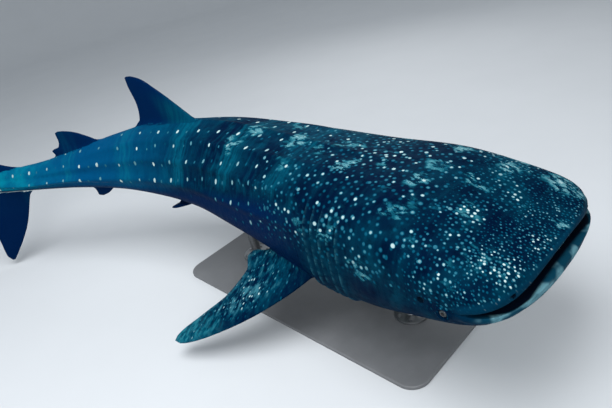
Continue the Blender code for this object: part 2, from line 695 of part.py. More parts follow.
def stalk_half(s, z):
    """Half thickness of the tail stalk as it runs on into the tail fin, at a height."""
    side, back, belly = (float(station(column, s)) for column in (SIDE, BACK, BELLY))
    reach = (back - side) if z > side else (side - belly)
    inside = 1 - ((z - side) / reach) ** 2
    keel = float(smooth_through([(row[0], row[2]) for row in RIDGES[2]], s))
    keel *= math.exp(-((z - side) / (RIDGE_WIDTH * 0.8)) ** 2)
    return float(station(HALF, s)) * math.sqrt(max(inside, 0.0)) + keel


def make_tail_fin():
    """Two lobes that share the end face of the tail stalk."""
    lobes = (
        ("caudal_fin_upper", 1, CAUDAL_UPPER_FRONT, CAUDAL_UPPER_REAR, 1.22, CAUDAL_SPLIT + GAP / 2, 17),
        ("caudal_fin_lower", -1, CAUDAL_LOWER_FRONT, CAUDAL_LOWER_REAR, 0.80, -CAUDAL_SPLIT + GAP / 2, 14),
    )
    for name, sign, front, rear, high, low, count in lobes:
        steps = [low, low + 0.02, low + 0.045, low + 0.07]
        steps += list(heights(max(low, 0) + 0.10, high, count))

        def thickness(h, s, share, sign=sign, high=high):
            fin = (0.052 + (0.012 - 0.052) * max(h, 0) / high) * blade_shape(share)
            fin = max(fin, 0.004) / 2
            return max(fin, stalk_half(s, sign * h))

        rows = blade_rows(steps, front, rear, thickness, 10)

        def place(table, sign=sign):
            h, s, w = table.T
            return np.stack([s + GAP / 2, w, sign * h], 1)

        blade(name, rows, place)


def turned(name, profile, centre, sides, finish):
    """Solid of revolution about an upright axis through (radius, height) points."""
    rings = []
    for radius, height in profile:
        turns = np.linspace(0, 2 * np.pi, sides + 1)[:-1]
        rings.append([(centre[0] + radius * math.cos(t), centre[1] + radius * math.sin(t), height)
                      for t in turns])
    return solid(name, *lofted(rings), finish)


def make_stand():
    """Flat plate with rounded corners, and two flanged rods cut to the belly."""
    places = {word: bend(np.array([[s, 0.0, 0.0]]))[0] for word, s in ROD_PLACES.items()}
    middle = (places["front"] + places["rear"]) / 2
    corners = []
    for turn, (x, y) in enumerate([(1, 1), (-1, 1), (-1, -1), (1, -1)]):
        centre_x = middle[0] + x * (PLATE_LENGTH / 2 - PLATE_CORNER)
        centre_y = middle[1] + y * (PLATE_WIDTH / 2 - PLATE_CORNER)
        for k in range(7):
            t = math.radians(90 * turn + 15 * k)
            corners.append((centre_x, centre_y, math.cos(t), math.sin(t)))
    rings = []
    for inset, height in ((0.004, 0.0), (0.0, 0.004), (0.0, PLATE_THICKNESS - 0.008), (0.008, PLATE_THICKNESS)):
        reach = PLATE_CORNER - inset
        rings.append([(x + reach * c, y + reach * n, height) for x, y, c, n in corners])
    solid("stand_base", *lofted(rings), "plate")
    for word, place in places.items():
        low = PLATE_THICKNESS + GAP
        top = low + FLANGE_THICKNESS
        belly = place[2] + float(station(BELLY, ROD_PLACES[word]))
        collar = belly - COLLAR_LENGTH
        profile = [
            (FLANGE_RADIUS, low), (FLANGE_RADIUS, top - 0.003), (FLANGE_RADIUS - 0.004, top),
            (ROD_RADIUS + 0.022, top), (ROD_RADIUS + 0.006, top + 0.012), (ROD_RADIUS, top + 0.030),
            (ROD_RADIUS, collar - 0.025), (COLLAR_RADIUS, collar), (COLLAR_RADIUS, belly + COLLAR_SINK),
        ]
        rod = turned(f"stand_rod_{word}", profile, place, 20, "steel")
        boolean(rod, [body_cutter()], "DIFFERENCE")


def centre_on_origin():
    """Moves everything so that the origin is under the middle of the box, and smooths the shading."""
    solids = [item for item in bpy.data.objects if item.type == "MESH"]
    corners = np.array([vert.co for item in solids for vert in item.data.vertices])
    low, high = corners.min(axis=0), corners.max(axis=0)
    shift = -(low + high) / 2
    for item in solids:
        for vert in item.data.vertices:
            vert.co.x += shift[0]
            vert.co.y += shift[1]
        item.data.shade_smooth()
        item.data.set_sharp_from_angle(angle=math.radians(40))
    print("box", low + [*shift[:2], 0], high + [*shift[:2], 0])


make_head()
body_part("torso_front", HEAD_END, FRONT_END)
body_part("torso_rear", FRONT_END, REAR_END)
body_part("tail_stalk", REAR_END, STALK_END)
make_fins()
make_tail_fin()
make_stand()
centre_on_origin()
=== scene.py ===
# %% [markdown]
# # A whale shark, as a life-size display model
# The model hangs level over a flat stand, in the middle of a slow turn. This lesson dresses the
# plain solids of the CAD model: one continuous skin goes over the whole animal, with its spots,
# folds and slits, and the stand gets its real finishes. The first cell brings the solids in.
# Everything after it takes its place and its size from them.

# %% Load the solids and note their box
import json
import math

import bmesh
import bpy
import numpy as np
from mathutils import Matrix, Vector
from mathutils.kdtree import KDTree

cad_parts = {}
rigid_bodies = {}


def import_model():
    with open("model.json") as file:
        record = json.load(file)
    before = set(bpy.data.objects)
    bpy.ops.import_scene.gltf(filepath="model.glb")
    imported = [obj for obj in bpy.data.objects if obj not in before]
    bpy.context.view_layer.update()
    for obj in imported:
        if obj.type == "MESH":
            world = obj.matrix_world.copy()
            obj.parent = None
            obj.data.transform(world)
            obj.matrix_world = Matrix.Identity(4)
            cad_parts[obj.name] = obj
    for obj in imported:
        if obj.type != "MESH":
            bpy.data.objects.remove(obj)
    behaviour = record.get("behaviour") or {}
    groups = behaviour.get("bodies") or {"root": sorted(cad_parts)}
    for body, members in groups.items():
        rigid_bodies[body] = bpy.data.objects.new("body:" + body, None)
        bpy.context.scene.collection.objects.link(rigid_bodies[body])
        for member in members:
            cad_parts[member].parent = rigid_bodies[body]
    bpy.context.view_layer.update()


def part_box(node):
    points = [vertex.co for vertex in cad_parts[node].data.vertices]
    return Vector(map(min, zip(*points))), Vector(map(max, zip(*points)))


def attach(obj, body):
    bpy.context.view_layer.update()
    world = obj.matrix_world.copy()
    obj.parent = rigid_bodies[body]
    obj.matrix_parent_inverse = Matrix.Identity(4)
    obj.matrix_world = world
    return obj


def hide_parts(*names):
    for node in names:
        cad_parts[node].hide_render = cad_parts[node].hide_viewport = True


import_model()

# %% [markdown]
# ## The measures of the body
# A fish this size is easiest to draw straight, as a row of cross-sections from the snout to the
# tail, and to bend afterwards. Each row of the table is one section: how far back it is, how wide,
# how high, and how square. A smooth curve that never overshoots joins the rows, so the skin has
# no dents between them. The same table drives the solids, which is why the two agree.

# %% The body's table of sections
BODY = np.array([
    (0.00, 0.545, 0.105, -0.155, -0.020, 3.70, 2.60),
    (0.20, 0.555, 0.180, -0.218, -0.030, 3.60, 2.60),
    (0.45, 0.565, 0.255, -0.268, -0.040, 3.20, 2.80),
    (0.80, 0.550, 0.325, -0.380, -0.050, 3.05, 3.00),
    (1.20, 0.500, 0.345, -0.455, -0.060, 2.90, 3.00),
    (1.60, 0.475, 0.365, -0.405, -0.060, 2.75, 2.50),
    (2.10, 0.450, 0.395, -0.295, -0.050, 2.10, 2.30),
    (2.60, 0.385, 0.415, -0.228, -0.030, 2.00, 2.10),
    (3.10, 0.300, 0.408, -0.180, -0.020, 2.00, 2.10),
    (3.60, 0.215, 0.328, -0.142, -0.010, 2.00, 2.00),
    (4.10, 0.150, 0.210, -0.125, 0.000, 2.00, 2.00),
    (4.55, 0.115, 0.135, -0.105, 0.000, 2.00, 2.00),
    (4.90, 0.060, 0.120, -0.080, 0.010, 2.00, 2.00),
    (5.30, 0.012, 0.240, -0.020, 0.080, 2.00, 2.00),
])
HALF, BACK, BELLY, SIDE, SQUARE_ABOVE, SQUARE_BELOW = range(1, 7)
SNOUT_TIP = 0.036
SNOUT_PLAN = (0.31, 3.15)
SNOUT_PROFILE = (0.68, 2.5)
JAW_PROFILE = (0.44, 2.5)
SNOUT_LEVEL, JAW_LEVEL, MOUTH_LEVEL = 0.075, -0.032, 0.026


def smooth_through(points, x):
    """Value at x of a smooth curve through (x, value) points that never overshoots them."""
    xs, ys = np.array(points, float).T
    x = np.clip(np.asarray(x, float), xs[0], xs[-1])
    step = np.diff(xs)
    slope = np.diff(ys) / step
    tangent = np.concatenate([slope[:1], np.zeros(len(slope) - 1), slope[-1:]])
    same = slope[:-1] * slope[1:] > 0
    near, far = 2 * step[1:] + step[:-1], step[1:] + 2 * step[:-1]
    before, after = slope[:-1][same], slope[1:][same]
    tangent[1:-1][same] = (near + far)[same] / (near[same] / before + far[same] / after)
    i = np.clip(np.searchsorted(xs, x, side="right") - 1, 0, len(step) - 1)
    t = (x - xs[i]) / step[i]
    start = (1 + 2 * t) * (1 - t) ** 2 * ys[i] + t * (1 - t) ** 2 * step[i] * tangent[i]
    end = t * t * (3 - 2 * t) * ys[i + 1] + t * t * (t - 1) * step[i] * tangent[i + 1]
    return start + end


def station(column, s):
    """One of the body's measures at a distance behind the snout."""
    return smooth_through(BODY[:, [0, column]], s)


def rounding(s, reach, power):
    """From 0 at the tip of the snout to 1 behind its rounded front."""
    left = np.clip(1 - (np.asarray(s, float) - SNOUT_TIP) / reach, 0, 1)
    return (1 - left**power) ** (1 / power)


def section(s, lift):
    """Left-hand point (y, z) of the plain body at a distance and at degrees above its widest line."""
    across, up = np.abs(np.cos(np.radians(lift))), np.sin(np.radians(lift))
    square = np.where(up >= 0, station(SQUARE_ABOVE, s), station(SQUARE_BELOW, s))
    reach = (across**square + np.abs(up) ** square) ** (-1 / square)
    back = SNOUT_LEVEL + (station(BACK, s) - SNOUT_LEVEL) * rounding(s, *SNOUT_PROFILE)
    belly = JAW_LEVEL + (station(BELLY, s) - JAW_LEVEL) * rounding(s, *JAW_PROFILE)
    side = MOUTH_LEVEL + (station(SIDE, s) - MOUTH_LEVEL) * rounding(s, *SNOUT_PROFILE)
    y = station(HALF, s) * rounding(s, *SNOUT_PLAN) * reach * across
    z = side + np.where(up >= 0, back - side, side - belly) * reach * up
    return y, z


print("widest half width:", BODY[:, HALF].max(), "m, length of the body:", BODY[-1, 0], "m")

# %% [markdown]
# ## Ridges and gills
# Three long ridges run down each flank, and the lowest one grows into the keel of the tail stalk.
# In front of the chest fin five gill slits open, each under a flap whose rear edge stands proud.
# Both could be sculpted by hand or painted as bump. Here they are heights added to the surface,
# because real relief catches the light from every side.

# %% Relief of the flanks
RIDGES = [
    [(1.2, 66, 0.0), (1.7, 63, 0.012), (2.6, 58, 0.014), (3.6, 53, 0.011), (4.3, 50, 0.0)],
    [(1.0, 42, 0.0), (1.6, 40, 0.012), (2.8, 34, 0.016), (4.0, 28, 0.011), (4.55, 26, 0.0)],
    [(1.2, 17, 0.0), (2.0, 15, 0.014), (3.2, 9, 0.02), (4.0, 4, 0.036), (4.6, 1, 0.06), (5.1, 0, 0.0)],
]
RIDGE_WIDTH = 0.028
BACK_RIDGE = [(0.7, 0.0), (1.2, 0.010), (2.6, 0.014), (2.9, 0.0)]
GILL_SLITS = [0.985, 1.057, 1.126, 1.191, 1.252]
GILL_SPACING, GILL_LEAN = 0.070, 0.00022
GILL_FLAP_RISE = 0.016
GILL_SLIT_DEPTH, GILL_SLIT_WIDTH = 0.034, 0.020
GILL_REACH = [(-62, 0.0), (-46, 1.0), (24, 1.0), (42, 0.0)]


def ridge_rise(s, lift):
    """Height of the long ridges, and how near a crest each point is."""
    size = np.sqrt(station(HALF, s) * (station(BACK, s) - station(BELLY, s)) / 2)
    rise = smooth_through(BACK_RIDGE, s) * np.exp(-(((90 - lift) * size / 57.3 / RIDGE_WIDTH) ** 2))
    crest = 0 * rise
    for ridge in RIDGES:
        centre = smooth_through([(row[0], row[1]) for row in ridge], s)
        height = smooth_through([(row[0], row[2]) for row in ridge], s)
        width = RIDGE_WIDTH * (0.6 + 0.4 * np.clip(size / 0.4, 0, 1))
        near = np.exp(-(((lift - centre) * size / 57.3 / width) ** 2))
        rise = rise + height * near
        crest = np.maximum(crest, near * np.clip(height / 0.008, 0, 1))
    return rise, crest


def gill_rise(s, lift):
    """Flaps that rise towards their rear edge, each with a slit cut in behind it."""
    reach = smooth_through(GILL_REACH, lift)
    rise, depth = 0.0 * s * lift, 0.0 * s * lift
    for slit in GILL_SLITS:
        lean = s + GILL_LEAN * (lift + 10)
        along = np.clip((lean - slit + GILL_SPACING) / GILL_SPACING, 0, 1)
        behind = lean - slit
        rise = rise + np.where(behind <= 0, GILL_FLAP_RISE * along**2, 0.0)
        cut = np.where(behind > 0, np.clip(1 - behind / GILL_SLIT_WIDTH, 0, 1) ** 1.5, 0.0)
        depth = np.maximum(depth, cut)
    return (rise - GILL_SLIT_DEPTH * depth) * reach, depth * reach


def skin(s, lift, out=0.0):
    """Left-hand point (y, z) of the finished body, raised along its own surface by its relief."""
    nudge = 0.1
    y, z = section(s, lift)
    y_after, z_after = section(s, lift + nudge)
    y_before, z_before = section(s, lift - nudge)
    along_y = np.where(lift > 89.9, -1.0, np.where(lift < -89.9, 1.0, y_after - y_before))
    along_z = np.where(np.abs(lift) > 89.9, 0.0, z_after - z_before)
    length = np.hypot(along_y, along_z) + 1e-12
    rise = ridge_rise(s, lift)[0] + gill_rise(s, lift)[0] + out
    return y + along_z / length * rise, z - along_y / length * rise


print("ridges a side:", len(RIDGES), "gill slits a side:", len(GILL_SLITS))

# %% [markdown]
# ## The swimming curve
# The animal turns gently to its right as it swims. A curvature that changes along the body is
# summed up once to give a heading and again to give a line, and the straight drawing is laid
# along that line. An armature could bend a finished mesh too, but a formula bends the skin, the
# fins and the rings and sockets of the eyes alike, and it can be run backwards to find where a point was drawn.

# %% Lay the straight drawing along the curve
AXIS_HEIGHT = 0.81
ORIGIN_S = 1.3
FRONT_ROD_S = 0.98
SIDE_CURVE = [(-0.5, 0.0), (1.5, 0.0), (2.6, 0.365), (3.6, 0.165), (4.5, 0.315), (5.5, 0.315), (7, 0)]
RISE_CURVE = [(-0.5, 0.0), (1.3, 0.005), (2.6, 0.005), (4.0, 0.013), (5.5, 0.013), (7.0, 0.0)]


def swimming_curve():
    """The axis as points, and its heading to the right and upward, every centimetre."""
    s = np.linspace(-0.5, 7.0, 751)
    step = s[1] - s[0]
    turned = []
    for curve in (SIDE_CURVE, RISE_CURVE):
        bend_here = smooth_through(curve, s)
        total = np.concatenate([[0], np.cumsum((bend_here[1:] + bend_here[:-1]) / 2 * step)])
        turned.append(total - np.interp(ORIGIN_S, s, total))
    heading, rise = turned
    back = -np.stack([np.cos(heading) * np.cos(rise), np.sin(heading) * np.cos(rise), -np.sin(rise)], 1)
    points = np.concatenate([[[0, 0, 0]], np.cumsum((back[1:] + back[:-1]) / 2 * step, axis=0)])
    start = [np.interp(ORIGIN_S, s, points[:, i]) for i in range(3)]
    return s, points - start, heading, rise


CURVE = swimming_curve()
rod_low, rod_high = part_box("stand_rod_front")
MOVED = np.array([
    (rod_low.x + rod_high.x) / 2 - (ORIGIN_S - FRONT_ROD_S),
    (rod_low.y + rod_high.y) / 2,
    AXIS_HEIGHT,
])


def curve_frame(s):
    """Place on the curve, and the directions ahead, to the left and above, at distances s."""
    table, axis, heading, rise = CURVE
    place = np.stack([np.interp(s, table, axis[:, i]) for i in range(3)], 1)
    head, up = np.interp(s, table, heading), np.interp(s, table, rise)
    left = np.stack([-np.sin(head), np.cos(head), 0 * head], 1)
    ahead = np.stack([np.cos(head) * np.cos(up), np.sin(head) * np.cos(up), -np.sin(up)], 1)
    return place, ahead, left, np.cross(ahead, left)


def bend(points):
    """Lays points drawn straight, as (s, y, z), along the swimming curve."""
    s, y, z = np.asarray(points, float).reshape(-1, 3).T
    place, _, left, above = curve_frame(s)
    return place + y[:, None] * left + z[:, None] * above + MOVED


def unbend(points):
    """Finds where bent points were drawn."""
    points = np.asarray(points, float) - MOVED
    s = ORIGIN_S - points[:, 0]
    for _ in range(12):
        place, ahead, left, above = curve_frame(s)
        s = s - ((points - place) * ahead).sum(1)
    place, ahead, left, above = curve_frame(s)
    return np.stack([s, ((points - place) * left).sum(1), ((points - place) * above).sum(1)], 1)


print("moved to:", MOVED.round(4))

# %% [markdown]
# ## A grid for the skin
# The skin is one grid of rows from the snout to the tail and columns from the belly, up one side,
# over the back and down the other. The mouth is a gap between two of those columns that closes
# behind its corners. Rows stand close where the form turns fast, at the snout and the gills, and
# columns close at the lips. A grid like this could also be voxel remeshed from the solids, but
# then the lips and the slits would be lost.

# %% Rows and columns of the skin
MOUTH_DROOP, MOUTH_DEPTH, MOUTH_OPEN, MOUTH_CORNER_OPEN = 0.045, 0.25, 0.046, 0.010
JAW_PUSH = 0.026
LIP_ROUNDING = (0.045, 2.0)
LIP = [(0.0, 0.0), (0.006, 0.005), (0.014, 0.0075), (0.027, 0.007), (0.046, 0.0), (0.056, -0.003),
       (0.075, 0.0)]
LIP_ROOM = 0.10
LIP_END = (0.22, 0.31)
BELOW, ABOVE, ACROSS = 52, 62, 40
HEAD_STEP, GILL_STEP, TRUNK_STEP = 0.0085, 0.010, 0.031
HEAD_END, GILL_END, BODY_END = 0.86, 1.34, 5.28


def snout_place(share):
    """Distance at which the snout has a share of its full half width."""
    reach, power = SNOUT_PLAN
    return SNOUT_TIP + reach * (1 - (1 - np.asarray(share) ** power) ** (1 / power))


def body_rows():
    """Distances of the rows, with extra ones in the gill slits and one at the corner of the mouth."""
    front = snout_place(np.linspace(0.03, 0.95, 32))
    rows = list(front) + list(np.arange(front[-1] + HEAD_STEP, MOUTH_DEPTH - 0.003, HEAD_STEP))
    rows += [MOUTH_DEPTH] + list(np.arange(MOUTH_DEPTH + HEAD_STEP, HEAD_END, HEAD_STEP))
    rows += list(np.arange(HEAD_END, GILL_END, GILL_STEP))
    for slit in GILL_SLITS:
        rows = [s for s in rows if not slit - 0.006 < s < slit + 0.026]
        rows += [slit + d for d in (-0.005, -0.0008, 0.0012, 0.005, 0.010, 0.015, 0.020)]
    rows += list(np.arange(GILL_END + 0.005, BODY_END, TRUNK_STEP)) + [BODY_END]
    return np.array(sorted(rows))


ROWS = body_rows()
MOUTH_ROW = int(np.argmin(np.abs(ROWS - MOUTH_DEPTH)))


def smoothstep(low, high, x):
    """From 0 to 1 between two values, level at both ends."""
    t = np.clip((np.asarray(x, float) - low) / (high - low), 0, 1)
    return t * t * (3 - 2 * t)


def mouth_edge(s, place, side):
    """Height of one lip's edge on the flank: side is 1 for the upper lip and -1 for the lower."""
    y, _ = section(s, 0 * s)
    along = np.clip((place - SNOUT_TIP) / (MOUTH_DEPTH - SNOUT_TIP), 0, 1)
    half = (MOUTH_OPEN + (MOUTH_CORNER_OPEN - MOUTH_OPEN) * along) / 2
    half = half * np.sqrt(1 - smoothstep(MOUTH_DEPTH - 0.04, MOUTH_DEPTH, place))
    level = SNOUT_LEVEL if side > 0 else JAW_LEVEL
    edge = MOUTH_LEVEL - MOUTH_DROOP * (y / 0.5) ** 2 + side * half
    return level + (edge - level) * rounding(s, *LIP_ROUNDING)


def pushed(s):
    """The lower jaw is carried a little ahead of the upper one."""
    return s - JAW_PUSH * np.clip(1 - s / MOUTH_DEPTH, 0, 1)


def lift_at(s, height):
    """Degrees above the widest line at which the side of the body has a height."""
    lifts = np.linspace(-88, 88, 705)
    _, z = section(np.full(len(lifts), s), lifts)
    return float(np.interp(height, z, lifts))


def leaned(row, lift):
    """Rows near the gills lean as the slits do, so that each slit keeps to its own rows."""
    share = smoothstep(0.70, 0.90, row) * (1 - smoothstep(1.34, 1.60, row))
    return row - GILL_LEAN * (lift + 10) * share


def half_section(side):
    """All rows of one jaw's outer skin, from its edge on the mouth to the back or the belly."""
    count = ABOVE if side > 0 else BELOW
    edges = mouth_edge(ROWS, ROWS if side > 0 else pushed(ROWS), side)
    starts = np.array([lift_at(s, edge) for s, edge in zip(ROWS, edges)])
    starts = starts * (1 - smoothstep(0.30, 0.85, ROWS))
    share = np.linspace(0, 1, count + 1)
    power = 1.4 - 0.4 * smoothstep(0.3, 0.9, ROWS)[:, None]
    lifts = starts[:, None] + (90.0 * side - starts[:, None]) * share**power
    s = leaned(ROWS[:, None], lifts)
    height = side * (section(s, lifts)[1] - edges[:, None])
    room = side * (section(ROWS, 90.0 * side + 0 * ROWS)[1] - edges)
    full = np.clip(room / LIP_ROOM, 0.001, 1)
    fade = full * (1 - smoothstep(*LIP_END, ROWS))
    lip = smooth_through(LIP, np.clip(height / full[:, None], 0, 1)) * fade[:, None]
    y, z = skin(s, lifts, out=lip)
    y[:, -1] = 0.0
    place = s if side > 0 else pushed(s)
    return np.stack([place, y, z], 2), s, lifts, np.clip(height, 0, None)


upper, upper_s, upper_lift, upper_height = half_section(1)
lower, lower_s, lower_lift, lower_height = half_section(-1)
lower[MOUTH_ROW:, 0] = upper[MOUTH_ROW:, 0]
print("rows:", len(ROWS), "columns a side:", BELOW + ABOVE, "row at the corner of the mouth:", MOUTH_ROW)

# %% [markdown]
# ## Keeping one flat map of the skin
# Every face also gets a place on a flat map, so that the finished colours can be baked onto it
# later. The body is laid out like a filleted skin, cut along the belly, with its real widths, and
# the fins are laid out beside it, each face on its own. Doing this while the grid is made is far
# neater than unwrapping the finished mesh, because every row and column is still known.

# %% A store for points, faces and their places on the map
MAP_SCALE = 0.172
MAP_NAME = "OFBake"
SHELF_START = 0.565
shelf = {"u": 0.008, "v": SHELF_START, "high": 0.0}


def map_room(wide, high):
    """Lower left corner of a free rectangle on the map, filled from left to right in rows."""
    if shelf["u"] + wide > 0.994:
        shelf["u"], shelf["v"], shelf["high"] = 0.008, shelf["v"] + shelf["high"] + 0.006, 0.0
    corner = np.array([shelf["u"], shelf["v"]])
    shelf["u"] += wide + 0.006
    shelf["high"] = max(shelf["high"], high)
    return corner


class Hide:
    """Points with their facts, and faces with their places on the map, gathered patch by patch."""

    FACTS = ("girth", "lift", "lip", "reach", "chord", "kind", "crest", "gill")

    def __init__(self):
        self.points, self.facts, self.faces, self.maps = [], [], [], []

    def add(self, points, **facts):
        """Stores a grid of points and returns the grid of their numbers."""
        points = np.asarray(points, float)
        shape = points.shape[:-1]
        start = sum(len(p) for p in self.points)
        self.points.append(points.reshape(-1, 3))
        columns = [np.broadcast_to(facts.get(name, 0.0), shape).ravel() for name in self.FACTS]
        self.facts.append(np.stack(columns, 1))
        return start + np.arange(int(np.prod(shape))).reshape(shape)

    def patch(self, index, where):
        """Faces over a grid of point numbers, with the map place of each corner."""
        for i in range(index.shape[0] - 1):
            for j in range(index.shape[1] - 1):
                spots = [(i, j), (i, j + 1), (i + 1, j + 1), (i + 1, j)]
                kept = []
                for spot in spots:
                    if index[spot] not in [index[k] for k in kept]:
                        kept.append(spot)
                if len(kept) > 2:
                    self.faces.append([int(index[k]) for k in kept])
                    self.maps.append([tuple(where[k]) for k in kept])

    def mesh(self, name, bent=True):
        """The gathered faces as an object, turned outward."""
        points = np.concatenate(self.points)
        if bent:
            points = bend(points)
        made = bpy.data.meshes.new(name)
        made.from_pydata(points.tolist(), [], self.faces)
        layer = made.uv_layers.new(name=MAP_NAME)
        flat = [value for face in self.maps for spot in face for value in spot]
        layer.data.foreach_set("uv", flat)
        shape = bmesh.new()
        shape.from_mesh(made)
        loose = [vert for vert in shape.verts if not vert.link_faces]
        bmesh.ops.delete(shape, geom=loose, context="VERTS")
        bmesh.ops.recalc_face_normals(shape, faces=shape.faces)
        if shape.calc_volume(signed=True) < 0:
            bmesh.ops.reverse_faces(shape, faces=shape.faces)
        open_edges = sum(1 for edge in shape.edges if not edge.is_manifold)
        shape.to_mesh(made)
        shape.free()
        item = bpy.data.objects.new(name, made)
        bpy.context.scene.collection.objects.link(item)
        print(name, "faces:", len(self.faces), "open edges:", open_edges)
        return item


# %% [markdown]
# ## Body and mouth
# Four quarter grids make the outside, upper and lower, left and right. They share their edge
# points, so the result is watertight without any merging. The mouth is a shallow pouch: a palate
# and a floor that start at the lips, swell apart behind them and meet again further in.

# %% Build the body with its mouth
PALATE_SWELL = 0.016
hide_sources = []


def girth_of(points, start):
    """Distance round the section from the first column, added to what is given for each row."""
    steps = np.linalg.norm(np.diff(points[:, :, 1:], axis=1), axis=2)
    return start[:, None] + np.concatenate([np.zeros((len(points), 1)), np.cumsum(steps, 1)], 1)


def map_rows():
    """Where each row lies along the map: the head gets more room than the tail."""
    weight = 1.45 - 0.62 * smoothstep(0.9, 1.9, ROWS)
    steps = np.diff(ROWS) * (weight[1:] + weight[:-1]) / 2
    return 0.012 + np.concatenate([[0], np.cumsum(steps)]) * MAP_SCALE


def build_body():
    """The outside and the mouth as one closed grid."""
    hide = Hide()
    from_back = girth_of(upper[:, ::-1], np.zeros(len(ROWS)))
    gap = np.linalg.norm(upper[:, 0] - lower[:, 0], axis=1)
    gap[MOUTH_ROW:] = 0.0
    below = girth_of(lower, from_back[:, -1] + gap)
    above = from_back[:, ::-1]
    along = map_rows()
    middle = 0.285
    numbers = {}
    for side in (1, -1):
        flip = np.array([1, side, 1])
        top = hide.add(upper * flip, girth=above * side, lift=upper_lift, lip=upper_height, kind=1,
                       crest=ridge_rise(upper_s, upper_lift)[1], gill=gill_rise(upper_s, upper_lift)[1])
        low = hide.add(lower * flip, girth=below * side, lift=lower_lift, lip=lower_height, kind=-1,
                       crest=ridge_rise(lower_s, lower_lift)[1], gill=gill_rise(lower_s, lower_lift)[1])
        if side < 0:
            top[:, -1], low[:, -1] = numbers[1][0][:, -1], numbers[1][1][:, -1]
        low[MOUTH_ROW:, 0] = top[MOUTH_ROW:, 0]
        numbers[side] = (top, low)
        for index, round_it in ((top, above), (low, below)):
            where = np.stack([along[:, None] + 0 * round_it, middle + side * round_it * MAP_SCALE], 2)
            hide.patch(index, where)
    rims = {1: 0, -1: 1}
    share = np.linspace(-1, 1, ACROSS + 1)
    mouth = slice(0, MOUTH_ROW + 1)
    inner = {}
    for jaw in (1, -1):
        edge = (upper if jaw > 0 else lower)[mouth, 0]
        y = -edge[:, 1:2] * np.sign(share) * np.abs(share) ** 0.8
        arch = MOUTH_DROOP * ((edge[:, 1:2] / 0.5) ** 2 - (y / 0.5) ** 2)
        arch = arch * rounding(ROWS[mouth], *LIP_ROUNDING)[:, None]
        inside = 1 - np.exp(-((edge[:, 1:2] - np.abs(y)) / 0.022) ** 2)
        swell = smoothstep(0.0, 0.07, ROWS[mouth] - SNOUT_TIP)
        swell = swell * (1 - smoothstep(-0.05, 0.0, ROWS[mouth] - MOUTH_DEPTH))
        z = edge[:, 2:3] + arch + jaw * PALATE_SWELL * swell[:, None] * inside
        points = np.stack([edge[:, 0:1] + 0 * y, y, z], 2)
        from_rim = np.minimum(edge[:, 1:2] - np.abs(y), ROWS[mouth][:, None] - SNOUT_TIP)
        index = hide.add(points, kind=3 * jaw, girth=y, lip=from_rim)
        index[:, 0] = numbers[1][rims[jaw]][mouth, 0]
        index[:, -1] = numbers[-1][rims[jaw]][mouth, 0]
        inner[jaw] = (index, y, points)
    inner[-1][0][-1] = inner[1][0][-1]
    for jaw, (index, y, points) in inner.items():
        corner = map_room(0.19, 0.06)
        where = np.stack([corner[0] + 0.095 + y * 0.15, corner[1] + points[:, :, 0] * 0.2], 2)
        hide.patch(index, where)
    ends = []
    for row, wanted in ((0, 1), (0, -1), (-1, 0)):
        left_top, left_low = numbers[1]
        right_top, right_low = numbers[-1]
        if wanted > 0:
            loop = list(left_top[row]) + list(right_top[row][-2::-1]) + list(inner[1][0][row][-2:0:-1])
        elif wanted < 0:
            loop = list(left_low[row]) + list(right_low[row][-2::-1]) + list(inner[-1][0][row][-2:0:-1])
        else:
            loop = (list(left_top[row]) + list(right_top[row][-2::-1]) + list(right_low[row][1:])
                    + list(left_low[row][-2:0:-1]))
        ends.append([int(k) for k in loop])
    for loop in ends:
        hide.faces.append(loop)
        corner = map_room(0.004, 0.004)
        hide.maps.append([tuple(corner + 0.001 * np.array([math.cos(k), math.sin(k)]))
                          for k in np.linspace(0, 6.28, len(loop), endpoint=False)])
    hide_sources.append(hide)
    return hide.mesh("shark_skin")


body = build_body()

# %% [markdown]
# ## Fins
# A fin is a flat blade with a round front edge and a thin rear edge. Its outline is two curves,
# front and rear, at each height, and its thickness follows a wing section that thins towards the
# tip and flares into the body at the root. All eight fins are drawn by the same function, since
# only their outlines, places and tilts differ.

# %% Fin outlines and the function that draws them
FIRST_DORSAL = 2.71
FIRST_DORSAL_FRONT = [(-0.10, -0.12), (0.0, -0.04), (0.12, 0.095), (0.30, 0.305), (0.39, 0.43), (0.412, 0.50)]
FIRST_DORSAL_REAR = [(-0.10, 0.62), (-0.03, 0.645), (0.01, 0.635), (0.05, 0.57), (0.195, 0.54),
                     (0.35, 0.56), (0.402, 0.56), (0.412, 0.54)]
SECOND_DORSAL = 3.85
SECOND_DORSAL_FRONT = [(-0.10, -0.26), (0.0, -0.20), (0.05, -0.10), (0.125, 0.05), (0.165, 0.16), (0.18, 0.25)]
SECOND_DORSAL_REAR = [(-0.10, 0.40), (-0.02, 0.43), (0.015, 0.435), (0.035, 0.36), (0.10, 0.33),
                      (0.165, 0.33), (0.18, 0.30)]
ANAL = 3.76
ANAL_FRONT = [(-0.08, -0.05), (0.0, 0.0), (0.05, 0.07), (0.095, 0.14), (0.115, 0.20)]
ANAL_REAR = [(-0.08, 0.30), (-0.02, 0.33), (0.010, 0.315), (0.03, 0.27), (0.07, 0.255), (0.105, 0.25),
             (0.115, 0.225)]
CAUDAL_FRONT = [(-0.80, 5.14), (-0.74, 5.085), (-0.45, 4.86), (-0.16, 4.70), (-0.06, 4.64), (0.08, 4.64),
                (0.20, 4.86), (0.45, 5.20), (0.85, 5.56), (1.15, 5.80), (1.22, 5.88)]
CAUDAL_REAR = [(-0.80, 5.165), (-0.74, 5.195), (-0.55, 5.185), (-0.30, 5.20), (-0.08, 5.265), (0.02, 5.30),
               (0.16, 5.36), (0.50, 5.58), (0.95, 5.82), (1.15, 5.915), (1.22, 5.905)]
PECTORAL_ROOT, PECTORAL_REACH, PECTORAL_DROOP, PECTORAL_SWEEP = (1.33, 0.40, -0.30), 0.835, 28.0, 17.0
